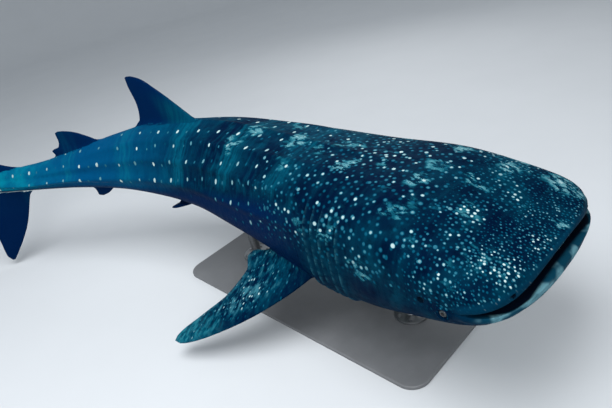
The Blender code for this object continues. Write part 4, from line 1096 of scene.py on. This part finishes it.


# %% [markdown]
# The material itself reads from the ground up: the dark ground with painted shade on the lower flank, the crowded
# spots, the rows, the fins, the pale smudges that are partly painted sunlight, and last the parts that cover all of
# that, such as lips, underside and the painted shade in the mouth and slits.

# %% The skin's material
def skin_material():
    """Dark blue-green back with pale spots, plain pale underside."""
    net = Net("shark_skin")
    at = net.fact("straight", "Vector")
    parts = net.tree.nodes.new("ShaderNodeSeparateXYZ")
    net.feed(parts.inputs[0], at)
    s, y, z = parts.outputs
    girth, lift, on_fin = net.fact("girth"), net.fact("lift"), net.fact("fin")
    column, row = net.fact("column"), net.fact("row")
    off_fin = net.math("SUBTRACT", 1.0, on_fin)
    broad = net.noise(at, 2.6, 3.0, 0.55, 1.0)
    patches = net.noise(at, 7.5, 3.0, 0.55, 6.0)
    fine = net.noise(at, 26.0, 4.0, 0.6, 2.0)
    streak_at = net.vector(net.math("MULTIPLY", s, 30.0), net.math("MULTIPLY", girth, 3.6))
    streaks = net.noise(streak_at, 1.0, 4.0, 0.62, 3.0)
    swirl = net.noise(net.node("ShaderNodeMapping", Vector=at, Scale=WISP_SIZE), 1.0, 5.0, 0.58, 4.0, bent=0.35)
    flat = net.node("ShaderNodeVectorMath", options={"operation": "ADD"}, n0=net.vector(s, girth),
                    n1=net.wobble(at, 30.0, 0.007))
    loose = net.node("ShaderNodeVectorMath", options={"operation": "ADD"}, n0=flat, n1=net.wobble(at, 9.0, 0.30))

    # the dark ground, with upright teal streaks that grow towards the tail, and painted shade on the lower flank of
    # the trunk
    head = net.step(s, 1.75, 1.15)
    trunk = net.math("SUBTRACT", 1.0, head)
    void = field(net, flat, VOIDS)
    teal = net.math("MULTIPLY", net.step(broad, 0.36, 0.66), 0.45)
    teal = net.math("ADD", teal, net.math("MULTIPLY", net.step(patches, 0.46, 0.72), 0.45))
    teal = net.math("MULTIPLY", teal, net.math("MULTIPLY_ADD", void, -0.9, 1.0))
    upright = net.math("MULTIPLY", net.step(streaks, 0.46, 0.70), net.step(s, 0.9, 2.0, 0.25, 0.55))
    teal = net.math("ADD", teal, upright)
    teal = net.math("ADD", teal, net.step(s, 2.3, 3.9, 0.0, 0.65))
    # painted shade: the lower flank of the trunk loses its teal and turns darker
    shade_side = net.step(row, 0.35, 1.2, 0.0, 0.92)
    teal = net.math("MULTIPLY", teal, net.math("SUBTRACT", 1.0, net.math("MULTIPLY", shade_side, trunk)))
    bar = net.math("PINGPONG", net.math("ADD", column, 0.30 + 1.5), 1.5)
    bar = net.math("MULTIPLY", net.step(bar, 0.86, 1.42), net.math("MULTIPLY", trunk, net.step(row, 0.6, 0.1)))
    bar = net.math("MULTIPLY", bar, net.step(streaks, 0.36, 0.70, 0.10, 0.90))
    teal = net.math("ADD", teal, net.math("MULTIPLY", bar, 0.80), clamp=True)
    teal = net.math("MULTIPLY", teal, net.math("MULTIPLY_ADD", on_fin, -0.85, 1.0))
    base = net.blend(teal, NAVY, TEAL)
    base = net.blend(net.math("MULTIPLY", net.step(s, 2.3, 4.0, 0.0, 0.85), off_fin), base, FAR_BLUE)
    base = net.blend(net.math("MULTIPLY", bar, net.step(s, 2.0, 4.2, 0.25, 0.70)), base, (0.002, 0.135, 0.205))
    far_end = net.math("MULTIPLY", net.step(s, 4.0, 4.8), net.step(patches, 0.38, 0.62, 0.35, 0.95))
    base = net.blend(net.math("MULTIPLY", far_end, off_fin), base, (0.001, 0.165, 0.250))
    base = net.blend(net.math("MULTIPLY", net.step(fine, 0.48, 0.74), net.step(s, 2.0, 3.2, 0.60, 0.12)), base, DEEP)
    base = net.blend(net.math("MAXIMUM", net.math("MULTIPLY", void, 0.55), net.math("MULTIPLY", head, 0.32)), base, DEEP)
    # painted shade laid over the lower flank of the trunk
    base = net.blend(net.math("MULTIPLY", net.math("MULTIPLY", shade_side, trunk), off_fin), base, LOW_FLANK_SHADE)

    # crowded spots of the head and the gills
    bright = net.math("MAXIMUM", field(net, flat, BRIGHT), net.step(patches, 0.50, 0.74, 0.0, 0.55))
    bright = net.math("MULTIPLY", bright, net.math("MULTIPLY_ADD", void, -0.85, 1.0))
    wavy = net.math("MULTIPLY_ADD", broad, 0.22, net.math("SUBTRACT", s, 0.11))
    spots = 0.0
    for k, (pitch, radius, begins, ends) in enumerate(CROWD_LAYERS):
        share = net.step(wavy, ends[1], ends[0])
        if begins:
            share = net.math("MULTIPLY", share, net.step(wavy, *begins))
        swell = net.math("SUBTRACT", net.math("MULTIPLY_ADD", share, 1.8, bright), 1.8)
        layer, chance = dots(net, flat, pitch, 0.74, radius, 0.135, 0.5 + k, swell)
        light = net.math("MULTIPLY_ADD", net.math("POWER", chance, 1.9), 0.54, 0.15)
        glow = net.math("MULTIPLY", bright, net.math("MULTIPLY_ADD", chance, 0.66, 0.16))
        light = net.math("ADD", light, glow, clamp=True)
        light = net.math("MULTIPLY", light, net.math("MULTIPLY_ADD", void, -0.35, 1.0))
        spots = net.math("MAXIMUM", spots, net.math("MULTIPLY", net.math("MULTIPLY", layer, light), share))
    star, chance = dots(net, flat, 0.105, 0.95, 0.098, 0.040, 3.0)
    star = net.math("MULTIPLY", star, net.math("MULTIPLY", net.step(chance, 0.25, 0.7), net.step(s, 2.2, 1.5)))
    star = net.math("MULTIPLY", star, net.step(wavy, 0.32, 0.50))
    spots = net.math("MAXIMUM", spots, net.math("MULTIPLY", star, 0.85))

    # rows behind the gills
    rows, chance = row_spots(net, column, row, SPOT_SIZE, 0.13, 0.0)
    rows = net.math("MULTIPLY", rows, net.math("MULTIPLY_ADD", net.math("POWER", chance, 1.5), 0.45, 0.55))
    faint, chance = row_spots(net, column, row, FAINT_SPOT_SIZE, 0.30, 0.5)
    faint = net.math("MULTIPLY", faint, net.math("MULTIPLY_ADD", chance, 0.35, 0.12))
    rows = net.math("MULTIPLY", net.math("MAXIMUM", rows, faint), net.step(s, 1.45, 1.75))
    low_edge = net.step(s, 1.7, 2.4, 2.2, 0.42)
    rows = net.math("MULTIPLY", rows, net.step(net.math("SUBTRACT", row, low_edge), 0.0, 0.5, 1.0, 0.12))
    spots = net.math("MAXIMUM", spots, rows)
    spots = net.math("MULTIPLY", net.math("MULTIPLY", spots, off_fin), net.step(row, 1.7, 3.2, 1.0, 0.0))

    # chest fins: small long flecks, brightest in the middle, and a pale rear edge and tip
    reach, chord, chest = net.fact("reach"), net.fact("chord"), net.fact("pectoral")
    long_at = net.node("ShaderNodeVectorMath", options={"operation": "ADD"},
                       n0=net.vector(s, net.math("MULTIPLY", y, 0.62)), n1=net.wobble(at, 24.0, 0.012))
    flecks, chance = dots(net, long_at, 0.0245, 0.90, 0.20, 0.13, 0.3)
    middle = net.math("MULTIPLY", net.step(net.math("ABSOLUTE", net.math("SUBTRACT", reach, 0.42)), 0.30, 0.04),
                      net.step(net.math("ABSOLUTE", net.math("SUBTRACT", chord, 0.58)), 0.38, 0.08))
    tip = net.step(reach, 0.60, 0.95)
    cloudy = net.noise(net.vector(net.math("MULTIPLY", s, 24.0), net.math("MULTIPLY", y, 13.0)), 1.0, 4.0, 0.6, 5.0)
    mottled = net.math("MULTIPLY", net.step(cloudy, 0.42, 0.62), net.step(chord, 0.05, 0.35, 0.15, 1.0))
    clouds = net.math("ADD", net.math("MULTIPLY", middle, 0.10), net.math("MULTIPLY", tip, 0.06))
    clouds = net.math("MULTIPLY", net.step(net.math("ADD", cloudy, clouds), 0.54, 0.72),
                      net.math("MULTIPLY", chest, net.step(chord, 0.08, 0.40, 0.1, 0.85)))
    fleck_light = net.math("MULTIPLY_ADD", net.math("POWER", chance, 3.0), 0.60, 0.10)
    fleck_light = net.math("MULTIPLY_ADD", net.math("MULTIPLY", middle, chance), 0.75, fleck_light)
    fleck_light = net.math("MULTIPLY", fleck_light, net.step(chord, 0.02, 0.25, 0.35, 1.0), clamp=True)
    flecks = net.math("MULTIPLY", net.math("MULTIPLY", flecks, fleck_light), chest)
    spots = net.math("MAXIMUM", spots, flecks)
    fin_teal = net.math("ADD", net.math("MULTIPLY", mottled, 0.95), net.math("MULTIPLY", tip, 0.7), clamp=True)
    base = net.blend(net.math("MULTIPLY", chest, fin_teal), base, TEAL)
    base = net.blend(net.math("MULTIPLY", chest, net.math("MULTIPLY", tip, mottled)), base, (0.004, 0.150, 0.200))
    upright_fin = net.math("SUBTRACT", on_fin, chest, clamp=True)
    base = net.blend(net.math("MULTIPLY", upright_fin, 0.75), base, FIN_BLUE)
    rim = net.math("MAXIMUM", net.step(chord, 0.88, 0.99), net.math("MULTIPLY", tip, 0.6))
    rim = net.math("MULTIPLY", net.math("MULTIPLY", rim, net.step(swirl, 0.40, 0.64)), net.math("MULTIPLY", chest, 0.55))
    base = net.blend(net.math("MAXIMUM", rim, clouds), base, HAZE)
    root = net.math("MULTIPLY", net.step(z, 0.30, 0.42), net.math("MULTIPLY", on_fin, net.step(s, 3.5, 3.3)))
    root = net.math("MULTIPLY", root, net.math("MULTIPLY", net.step(chord, 0.62, 0.20), net.step(reach, 0.75, 0.25)))
    base = net.blend(net.math("MULTIPLY", root, net.step(streaks, 0.30, 0.60, 0.35, 0.9)), base, TEAL)

    # pale smudges, partly painted light, ripples of sunlight and the highlight on the lit rim of the head: a soft
    # cloud with thin bright threads, and a faint pale bloom among the spots
    smudge_and_sun_ripple = field(net, loose, SMUDGES_AND_SUN_RIPPLES)
    cloud = net.math("MULTIPLY", net.step(swirl, 0.37, 0.70), net.step(smudge_and_sun_ripple, 0.0, 1.0, 0.0, 0.95))
    thread = net.step(net.math("ABSOLUTE", net.math("SUBTRACT", swirl, 0.53)), 0.030, 0.004)
    thread = net.math("MULTIPLY", thread, net.step(smudge_and_sun_ripple, 0.10, 0.80, 0.0, 0.75))
    bloom = net.math("MULTIPLY", net.math("MULTIPLY", net.step(swirl, 0.44, 0.70), bright), net.math("MULTIPLY", head, 0.45))
    milky_and_sun_ripple = net.math("MULTIPLY", net.math("MAXIMUM", net.math("MAXIMUM", cloud, thread), bloom), off_fin)
    # painted light: the pale smudges, partly sunlight ripples and the lit rim of the head, lightened onto the ground
    base = net.blend(net.step(milky_and_sun_ripple, 0.0, 0.40), base, net.ramp(milky_and_sun_ripple, SMUDGE_AND_SUN_RIPPLE_TONES), "LIGHTEN")
    base = net.blend(net.math("MULTIPLY", net.fact("flap"), net.step(swirl, 0.40, 0.66, 0.0, 0.42)), base, HAZE)
    colour = net.blend(net.step(spots, 0.0, 0.24), base, net.ramp(spots, SPOT_TONES), "LIGHTEN")

    # plain underside with a band of painted shade above it, lips, and painted shade inside the mouth, the gill slits
    # and the holes
    low_side = net.math("ADD", lift, net.math("MULTIPLY", net.math("SUBTRACT", broad, 0.5), 16.0))
    # painted shade: a dark plain band on the lower side, above the pale underside
    colour = net.blend(net.math("MULTIPLY", net.step(low_side, -32.0, -50.0), off_fin), colour, (0.0010, 0.025, 0.066))
    colour = net.blend(net.math("MULTIPLY", net.step(low_side, -54.0, -74.0), off_fin), colour, UNDER)
    colour = net.blend(net.math("MULTIPLY", net.fact("lip"), 0.92), colour, (0.0006, 0.026, 0.056))
    # painted shade deep inside the mouth
    colour = net.blend(net.fact("mouth"), colour, RECESS_SHADE)
    patchy = net.noise(at, 11.0, 1.0, 0.4, 12.0)
    lip_colour = net.blend(net.step(patchy, 0.46, 0.60), LIP_TONE, LIP_PATCH)
    lip_colour = net.blend(net.math("MULTIPLY", net.step(fine, 0.40, 0.70), 0.5), lip_colour, LIP_TONE)
    lip_colour = net.blend(net.step(s, 0.12, 0.22), lip_colour, (0.0008, 0.017, 0.040))
    colour = net.blend(net.fact("low_lip"), colour, lip_colour)
    # painted shade in the gill slits and the small holes of the head
    colour = net.blend(net.math("MULTIPLY", net.fact("gill"), 0.95), colour, RECESS_SHADE)
    colour = net.blend(net.math("MULTIPLY", net.fact("hole"), 0.9), colour, RECESS_SHADE)
    net.feed(net.shader.inputs["Base Color"], colour)
    net.feed(net.shader.inputs["Roughness"], net.step(fine, 0.3, 0.7, 0.46, 0.62))
    net.shader.inputs["Specular IOR Level"].default_value = 0.012
    net.shader.inputs["Specular Tint"].default_value = (0.30, 0.75, 1.0, 1.0)

    # wrinkles round the eye, creases along the streaks, and pores
    away = net.fact("eye_away")
    uneven = net.math("MULTIPLY_ADD", fine, 0.020, net.math("MULTIPLY_ADD", broad, 0.09, away))
    folds = net.math("SINE", net.math("MULTIPLY", uneven, 430.0))
    folds = net.math("MULTIPLY", folds, net.math("MULTIPLY", net.step(away, 0.105, 0.040), net.step(patches, 0.35, 0.6)))
    creases = net.math("MULTIPLY", streaks, net.math("MULTIPLY", net.step(s, 0.7, 1.1), off_fin))
    grain = net.noise(at, 170.0, 3.0, 0.6, 7.0)
    rays = net.math("SINE", net.math("MULTIPLY", chord, 130.0))
    rays = net.math("MULTIPLY", rays, net.math("MULTIPLY", on_fin, net.step(reach, 0.15, 0.6)))
    normal = net.bump(grain, 0.22, 0.002)
    normal = net.bump(net.math("ADD", creases, net.math("MULTIPLY", fine, 0.6)), 0.35, 0.010, normal)
    normal = net.bump(net.math("MULTIPLY_ADD", rays, 0.25, folds), 0.5, 0.0022, normal)
    net.feed(net.shader.inputs["Normal"], normal)
    return net.material


body.data.materials.clear()
body.data.materials.append(skin_material())
body.data.shade_smooth()
body.data.set_sharp_from_angle(angle=math.radians(50))
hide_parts("head", "lower_jaw", "torso_front", "torso_rear", "tail_stalk", "first_dorsal_fin",
            "second_dorsal_fin", "anal_fin", "caudal_fin_upper", "caudal_fin_lower", "pectoral_fin_left",
            "pectoral_fin_right", "pelvic_fin_left", "pelvic_fin_right")
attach(body, "root")

# %% [markdown]
# ## Eyes
# A glass-like ball with a dark pupil in a grey iris. It is turned from rings about the line of
# sight, and each ring stores its angle, so the material can paint pupil, iris and rim by that
# angle. A plain UV sphere would work too, but its poles would have to be turned to the pupil.

# %% Build the eyes
def eye_material():
    """Dark pupil, grey-blue iris with fine spokes, dark rim."""
    net = Net("eye_glass")
    angle = net.fact("angle")
    spokes = net.noise(net.vector(net.math("MULTIPLY", net.fact("turn"), 9.0), 0.0, 0.0), 2.0, 3.0, 0.6, 3.0)
    iris = net.blend(spokes, (0.010, 0.016, 0.020), (0.075, 0.090, 0.095))
    colour = net.blend(net.step(angle, 24.0, 27.0, 1.0, 0.0), iris, (0.002, 0.002, 0.003))
    colour = net.blend(net.step(angle, 46.0, 56.0), colour, (0.008, 0.012, 0.016))
    net.feed(net.shader.inputs["Base Color"], colour)
    net.shader.inputs["Roughness"].default_value = 0.16
    net.shader.inputs["Specular IOR Level"].default_value = 0.30
    return net.material


def build_eye(name, node, side, finish):
    """An eyeball in its socket, looking out to the side and a little ahead."""
    low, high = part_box(node)
    centre, size = np.array((low + high) / 2), (high.z - low.z) / 2
    look = np.array([0.12, side * 1.0, 0.05])
    look /= np.linalg.norm(look)
    across = np.cross(look, [0, 0, 1.0])
    across /= np.linalg.norm(across)
    up = np.cross(across, look)
    rows, columns = 40, 48
    down = np.linspace(0, np.pi, rows + 1)
    verts, angles, turns, faces = [centre + size * look], [0.0], [0.0], []
    for a in down[1:-1]:
        for k in range(columns):
            t = 2 * np.pi * k / columns
            verts.append(centre + size * (np.cos(a) * look + np.sin(a) * (np.cos(t) * across + np.sin(t) * up)))
            angles.append(math.degrees(a))
            turns.append(abs(t - np.pi))
    verts.append(centre - size * look)
    angles.append(180.0)
    turns.append(0.0)
    for k in range(columns):
        faces.append((0, 1 + k, 1 + (k + 1) % columns))
        for i in range(rows - 2):
            a, b = 1 + i * columns + k, 1 + i * columns + (k + 1) % columns
            faces.append((a, a + columns, b + columns, b))
        end = 1 + (rows - 2) * columns
        faces.append((len(verts) - 1, end + (k + 1) % columns, end + k))
    mesh = bpy.data.meshes.new(name)
    mesh.from_pydata([tuple(v) for v in verts], [], faces)
    shape = bmesh.new()
    shape.from_mesh(mesh)
    bmesh.ops.recalc_face_normals(shape, faces=shape.faces)
    shape.to_mesh(mesh)
    shape.free()
    store(mesh, "angle", angles)
    store(mesh, "turn", turns)
    mesh.materials.append(finish)
    mesh.shade_smooth()
    item = bpy.data.objects.new(name, mesh)
    bpy.context.scene.collection.objects.link(item)
    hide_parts(node)
    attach(item, "root")
    return item


glass = eye_material()
eyes = [build_eye("left_eye", "eye_left", 1, glass), build_eye("right_eye", "eye_right", -1, glass)]
print("eyes:", [item.name for item in eyes])

# %% [markdown]
# ## The stand
# The model is carried by a heavy steel plate and two rods that enter the belly through collars.
# The plate is powder coated, the rods are brushed. A ring of bolts holds each flange, and since
# bolts are a thing that repeats, Geometry Nodes set them out.

# %% Finishes of the stand
def coated_material():
    """Dark powder coat with its fine orange-peel."""
    net = Net("powder_coat")
    at = net.node("ShaderNodeTexCoord", "Object")
    peel = net.noise(at, 260.0, 2.0, 0.5, 1.0)
    dust = net.noise(at, 3.0, 5.0, 0.65, 2.0)
    colour = net.blend(net.step(dust, 0.35, 0.75), (0.130, 0.135, 0.142), (0.165, 0.170, 0.178))
    net.feed(net.shader.inputs["Base Color"], colour)
    net.feed(net.shader.inputs["Roughness"], net.step(dust, 0.3, 0.8, 0.42, 0.60))
    net.feed(net.shader.inputs["Normal"], net.bump(peel, 0.25, 0.0012))
    return net.material


def brushed_material():
    """Brushed steel, its fine lines running round the rod."""
    net = Net("brushed_steel")
    at = net.node("ShaderNodeTexCoord", "Object")
    along = net.node("ShaderNodeMapping", Vector=at, Scale=(6.0, 6.0, 420.0))
    lines = net.noise(along, 1.0, 3.0, 0.6, 4.0)
    stains = net.noise(at, 7.0, 4.0, 0.6, 5.0)
    colour = net.blend(net.step(lines, 0.3, 0.7), (0.24, 0.25, 0.26), (0.34, 0.35, 0.36))
    net.feed(net.shader.inputs["Base Color"], colour)
    net.feed(net.shader.inputs["Roughness"], net.step(stains, 0.3, 0.7, 0.32, 0.46))
    net.feed(net.shader.inputs["Normal"], net.bump(lines, 0.12, 0.0006))
    net.shader.inputs["Metallic"].default_value = 1.0
    return net.material


coat, steel = coated_material(), brushed_material()

# %% The plate and the rods
PLATE_CORNER = 0.12
ROD_RADIUS, FLANGE_RADIUS, COLLAR_RADIUS, COLLAR_LENGTH = 0.038, 0.115, 0.062, 0.085


def finish_piece(name, points, faces, material, node=None, slot=None):
    """Object from points and faces, turned outward, smooth between its sharp edges."""
    mesh = bpy.data.meshes.new(name)
    mesh.from_pydata([tuple(map(float, p)) for p in points], [], faces)
    shape = bmesh.new()
    shape.from_mesh(mesh)
    bmesh.ops.recalc_face_normals(shape, faces=shape.faces)
    if shape.calc_volume(signed=True) < 0:
        bmesh.ops.reverse_faces(shape, faces=shape.faces)
    shape.to_mesh(mesh)
    shape.free()
    mesh.materials.append(material)
    mesh.shade_smooth()
    mesh.set_sharp_from_angle(angle=math.radians(32))
    item = bpy.data.objects.new(name, mesh)
    bpy.context.scene.collection.objects.link(item)
    if node:
        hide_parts(node)
    if slot:
        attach(item, "root")
    return item


def loft(rings):
    """Points and faces of a closed skin over rings of equal count, with a flat face at both ends."""
    count = len(rings[0])
    faces = []
    for i in range(len(rings) - 1):
        for j in range(count):
            a, b = i * count + j, i * count + (j + 1) % count
            faces.append((a, b, b + count, a + count))
    last = (len(rings) - 1) * count
    faces += [tuple(range(count)), tuple(range(last, last + count))]
    return [p for ring in rings for p in ring], faces


def build_plate():
    """Flat plate with rounded corners and a rounded upper edge."""
    low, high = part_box("stand_base")
    centre, half = (low + high) / 2, (high - low) / 2
    thick = high.z - low.z
    rings = []
    edge = [(0.004, 0.0), (0.001, 0.0012), (0.0, 0.004), (0.0, thick - 0.008)]
    edge += [(0.008 * (1 - math.cos(t)), thick - 0.008 + 0.008 * math.sin(t)) for t in np.linspace(0.2, 1.571, 7)]
    for inset, height in edge:
        ring = []
        for turn, (x, y) in enumerate([(1, 1), (-1, 1), (-1, -1), (1, -1)]):
            for k in range(13):
                t = math.radians(90 * turn + 7.5 * k)
                reach = PLATE_CORNER - inset
                ring.append((centre.x + x * (half.x - PLATE_CORNER) + reach * math.cos(t),
                             centre.y + y * (half.y - PLATE_CORNER) + reach * math.sin(t), low.z + height))
        rings.append(ring)
    return finish_piece("base_plate", *loft(rings), coat, "stand_base", "stand_plate")


def build_rod(word):
    """Flange, rod and collar turned about one upright axis, ending inside the body."""
    low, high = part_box(f"stand_rod_{word}")
    centre = (low + high) / 2
    foot = low.z
    top = foot + 0.014
    profile = [(FLANGE_RADIUS - 0.001, foot), (FLANGE_RADIUS, foot + 0.001), (FLANGE_RADIUS, top - 0.003),
               (FLANGE_RADIUS - 0.0012, top - 0.0009), (FLANGE_RADIUS - 0.004, top)]
    bead = [(ROD_RADIUS + 0.012 * (1 - math.sin(t)), top + 0.012 * (1 - math.cos(t)))
            for t in np.linspace(0, 1.571, 7)]
    profile += [(ROD_RADIUS + 0.022, top)] + bead
    belly = high.z
    collar = belly - COLLAR_LENGTH
    profile += [(ROD_RADIUS, collar - 0.026), (ROD_RADIUS + 0.004, collar - 0.018),
                (COLLAR_RADIUS - 0.004, collar - 0.004), (COLLAR_RADIUS, collar + 0.002),
                (COLLAR_RADIUS, belly - 0.012), (COLLAR_RADIUS - 0.002, belly - 0.004), (COLLAR_RADIUS - 0.004, belly)]
    rings = []
    for radius, height in profile:
        rings.append([(centre.x + radius * math.cos(t), centre.y + radius * math.sin(t), height)
                      for t in np.linspace(0, 2 * np.pi, 73)[:-1]])
    return finish_piece(f"rod_{word}", *loft(rings), steel, f"stand_rod_{word}", "stand_steel")


plate = build_plate()
rods = [build_rod(word) for word in ("front", "rear")]
print("stand pieces:", plate.name, [item.name for item in rods])

# %% [markdown]
# ## Bolts by Geometry Nodes
# The tree below sets one hexagonal head on each point of a circle and turns the result into plain
# faces. Count, circle and size are named inputs, so the same tree serves both flanges. At the end
# the evaluated result is copied to a plain mesh.

# %% Set out the bolts
def bolt_tree(material):
    """Node group that sets hexagonal bolt heads with washers round a circle."""
    group = bpy.data.node_groups.new("bolt_ring", "GeometryNodeTree")
    for label, kind, value in (("Bolts", "NodeSocketInt", 6), ("Circle Radius", "NodeSocketFloat", 0.09),
                               ("Head Radius", "NodeSocketFloat", 0.011), ("Head Height", "NodeSocketFloat", 0.008)):
        group.interface.new_socket(label, in_out="INPUT", socket_type=kind).default_value = value
    group.interface.new_socket("Geometry", in_out="OUTPUT", socket_type="NodeSocketGeometry")
    new, link = group.nodes.new, group.links.new
    given, result = new("NodeGroupInput"), new("NodeGroupOutput")
    circle = new("GeometryNodeMeshCircle")
    link(given.outputs["Bolts"], circle.inputs["Vertices"])
    link(given.outputs["Circle Radius"], circle.inputs["Radius"])
    parts = new("GeometryNodeJoinGeometry")
    for sides, wide, high, level in ((6, 1.0, 1.0, 0.62), (28, 1.45, 0.22, 0.11)):
        head = new("GeometryNodeMeshCylinder")
        head.inputs["Vertices"].default_value = sides
        for factor, source, target in ((wide, "Head Radius", "Radius"), (high, "Head Height", "Depth")):
            times = new("ShaderNodeMath")
            times.operation = "MULTIPLY"
            times.inputs[1].default_value = factor
            link(given.outputs[source], times.inputs[0])
            link(times.outputs[0], head.inputs[target])
        rise = new("ShaderNodeMath")
        rise.operation = "MULTIPLY"
        rise.inputs[1].default_value = level
        link(given.outputs["Head Height"], rise.inputs[0])
        lift_by = new("ShaderNodeCombineXYZ")
        link(rise.outputs[0], lift_by.inputs["Z"])
        move = new("GeometryNodeTransform")
        link(head.outputs["Mesh"], move.inputs["Geometry"])
        link(lift_by.outputs[0], move.inputs["Translation"])
        link(move.outputs[0], parts.inputs[0])
    spread = new("GeometryNodeInstanceOnPoints")
    link(circle.outputs[0], spread.inputs["Points"])
    link(parts.outputs[0], spread.inputs["Instance"])
    real = new("GeometryNodeRealizeInstances")
    link(spread.outputs[0], real.inputs[0])
    paint = new("GeometryNodeSetMaterial")
    paint.inputs["Material"].default_value = material
    link(real.outputs[0], paint.inputs["Geometry"])
    link(paint.outputs[0], result.inputs[0])
    return group


def bolts_on(word, group):
    """Six bolts on one flange, as a plain mesh in place."""
    low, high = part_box(f"stand_rod_{word}")
    carrier = bpy.data.objects.new("carrier", bpy.data.meshes.new("carrier"))
    bpy.context.scene.collection.objects.link(carrier)
    change = carrier.modifiers.new("bolts", "NODES")
    change.node_group = group
    wanted = {"Bolts": 6, "Circle Radius": 0.088}
    for item in group.interface.items_tree:
        if item.in_out == "INPUT" and item.name in wanted:
            change[item.identifier] = wanted[item.name]
    found = bpy.context.evaluated_depsgraph_get()
    mesh = bpy.data.meshes.new_from_object(carrier.evaluated_get(found))
    bpy.data.objects.remove(carrier, do_unlink=True)
    centre = (low + high) / 2
    mesh.transform(Matrix.Translation((centre.x, centre.y, low.z + 0.0142)))
    mesh.name = f"bolts_{word}"
    mesh.shade_flat()
    item = bpy.data.objects.new(f"bolts_{word}", mesh)
    bpy.context.scene.collection.objects.link(item)
    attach(item, "root")
    return item


ring_of_bolts = bolt_tree(steel)
bolts = [bolts_on(word, ring_of_bolts) for word in ("front", "rear")]
print("bolt faces:", [len(item.data.polygons) for item in bolts])

# %% [markdown]
# ## Floor, light and camera
# A pale floor and three large soft lights show the form without harsh shadows. The camera stands
# where the photographer was: ahead of the animal on its right, above it, and tilted a little.

# %% Studio
def build_floor():
    """Plain pale floor that turns up into a wall all round, so that no horizon shows."""
    net = Net("pale_floor")
    at = net.node("ShaderNodeTexCoord", "Object")
    tone = net.noise(at, 1.5, 3.0, 0.5, 1.0)
    net.feed(net.shader.inputs["Base Color"], net.blend(tone, (0.60, 0.62, 0.64), (0.64, 0.66, 0.68)))
    net.shader.inputs["Roughness"].default_value = 0.8
    net.shader.inputs["Specular IOR Level"].default_value = 0.1
    far, turn_up, wall = 16.0, 5.0, 9.0
    profile = [(0.0, 0.0), (4.0, 0.0), (far, 0.0)]
    profile += [(far + turn_up * math.sin(t), turn_up * (1 - math.cos(t))) for t in np.linspace(0.1, 1.57, 16)]
    profile += [(far + turn_up, wall)]
    sides = 96
    verts = [(r * math.cos(t), r * math.sin(t), z) for r, z in profile
             for t in np.linspace(0, 2 * np.pi, sides, endpoint=False)]
    faces = []
    for i in range(len(profile) - 1):
        for j in range(sides):
            a, b = i * sides + j, i * sides + (j + 1) % sides
            faces.append((a, a + sides, b + sides, b))
    mesh = bpy.data.meshes.new("floor")
    mesh.from_pydata(verts, [], faces)
    shape = bmesh.new()
    shape.from_mesh(mesh)
    bmesh.ops.remove_doubles(shape, verts=shape.verts, dist=0.0001)
    shape.to_mesh(mesh)
    shape.free()
    mesh.shade_smooth()
    mesh.materials.append(net.material)
    item = bpy.data.objects.new("floor", mesh)
    bpy.context.scene.collection.objects.link(item)


def area_light(name, place, target, size, power, colour=(1, 1, 1)):
    """A large square light that faces a target."""
    light = bpy.data.lights.new(name, "AREA")
    light.size, light.energy, light.color = size, power, colour
    item = bpy.data.objects.new(name, light)
    item.location = place
    item.rotation_euler = (Vector(target) - Vector(place)).to_track_quat("-Z", "Y").to_euler()
    bpy.context.scene.collection.objects.link(item)


build_floor()
middle = (0.4, 0.3, 0.9)
area_light("overhead", (1.2, -1.5, 6.5), middle, 5.0, 420, (0.96, 0.98, 1.0))
area_light("front_right", (5.5, -4.5, 4.0), middle, 3.0, 200)
area_light("far_left", (-2.5, 6.0, 4.5), middle, 3.5, 70)
world = bpy.data.worlds.new("studio")
world.use_nodes = True
world.node_tree.nodes["Background"].inputs[0].default_value = (0.80, 0.86, 0.92, 1)
world.node_tree.nodes["Background"].inputs[1].default_value = 0.55
bpy.context.scene.world = world
bpy.context.scene.view_settings.view_transform = "Standard"

# %% Camera
AZIMUTH, ELEVATION, ROLL = 0.683, 0.499, -0.245
CAMERA_FROM_AXIS = (2.037, -2.041, 1.619)
FOCAL_PIXELS, PICTURE_WIDTH, SENSOR = 527.4, 612, 36.0


def build_camera():
    """Camera at the photographer's place, with the same turn, tilt and lens."""
    d = np.array([math.cos(ELEVATION) * math.cos(AZIMUTH), -math.cos(ELEVATION) * math.sin(AZIMUTH),
                  math.sin(ELEVATION)])
    right = np.cross(-d, [0, 0, 1.0])
    right /= np.linalg.norm(right)
    up = np.cross(right, -d)
    c, n = math.cos(ROLL), math.sin(ROLL)
    right, up = c * right + n * up, -n * right + c * up
    lens = bpy.data.cameras.new("photo_camera")
    lens.sensor_width = SENSOR
    lens.lens = FOCAL_PIXELS / PICTURE_WIDTH * SENSOR
    lens.clip_start = 0.01
    item = bpy.data.objects.new("photo_camera", lens)
    place = np.array(CAMERA_FROM_AXIS) + [MOVED[0], MOVED[1], AXIS_HEIGHT]
    columns = [(*right, 0), (*up, 0), (*d, 0), (*place, 1)]
    item.matrix_world = Matrix(columns).transposed()
    bpy.context.scene.collection.objects.link(item)
    bpy.context.scene.camera = item
    return item


camera = build_camera()
print("camera at", [round(x, 3) for x in camera.matrix_world.translation])
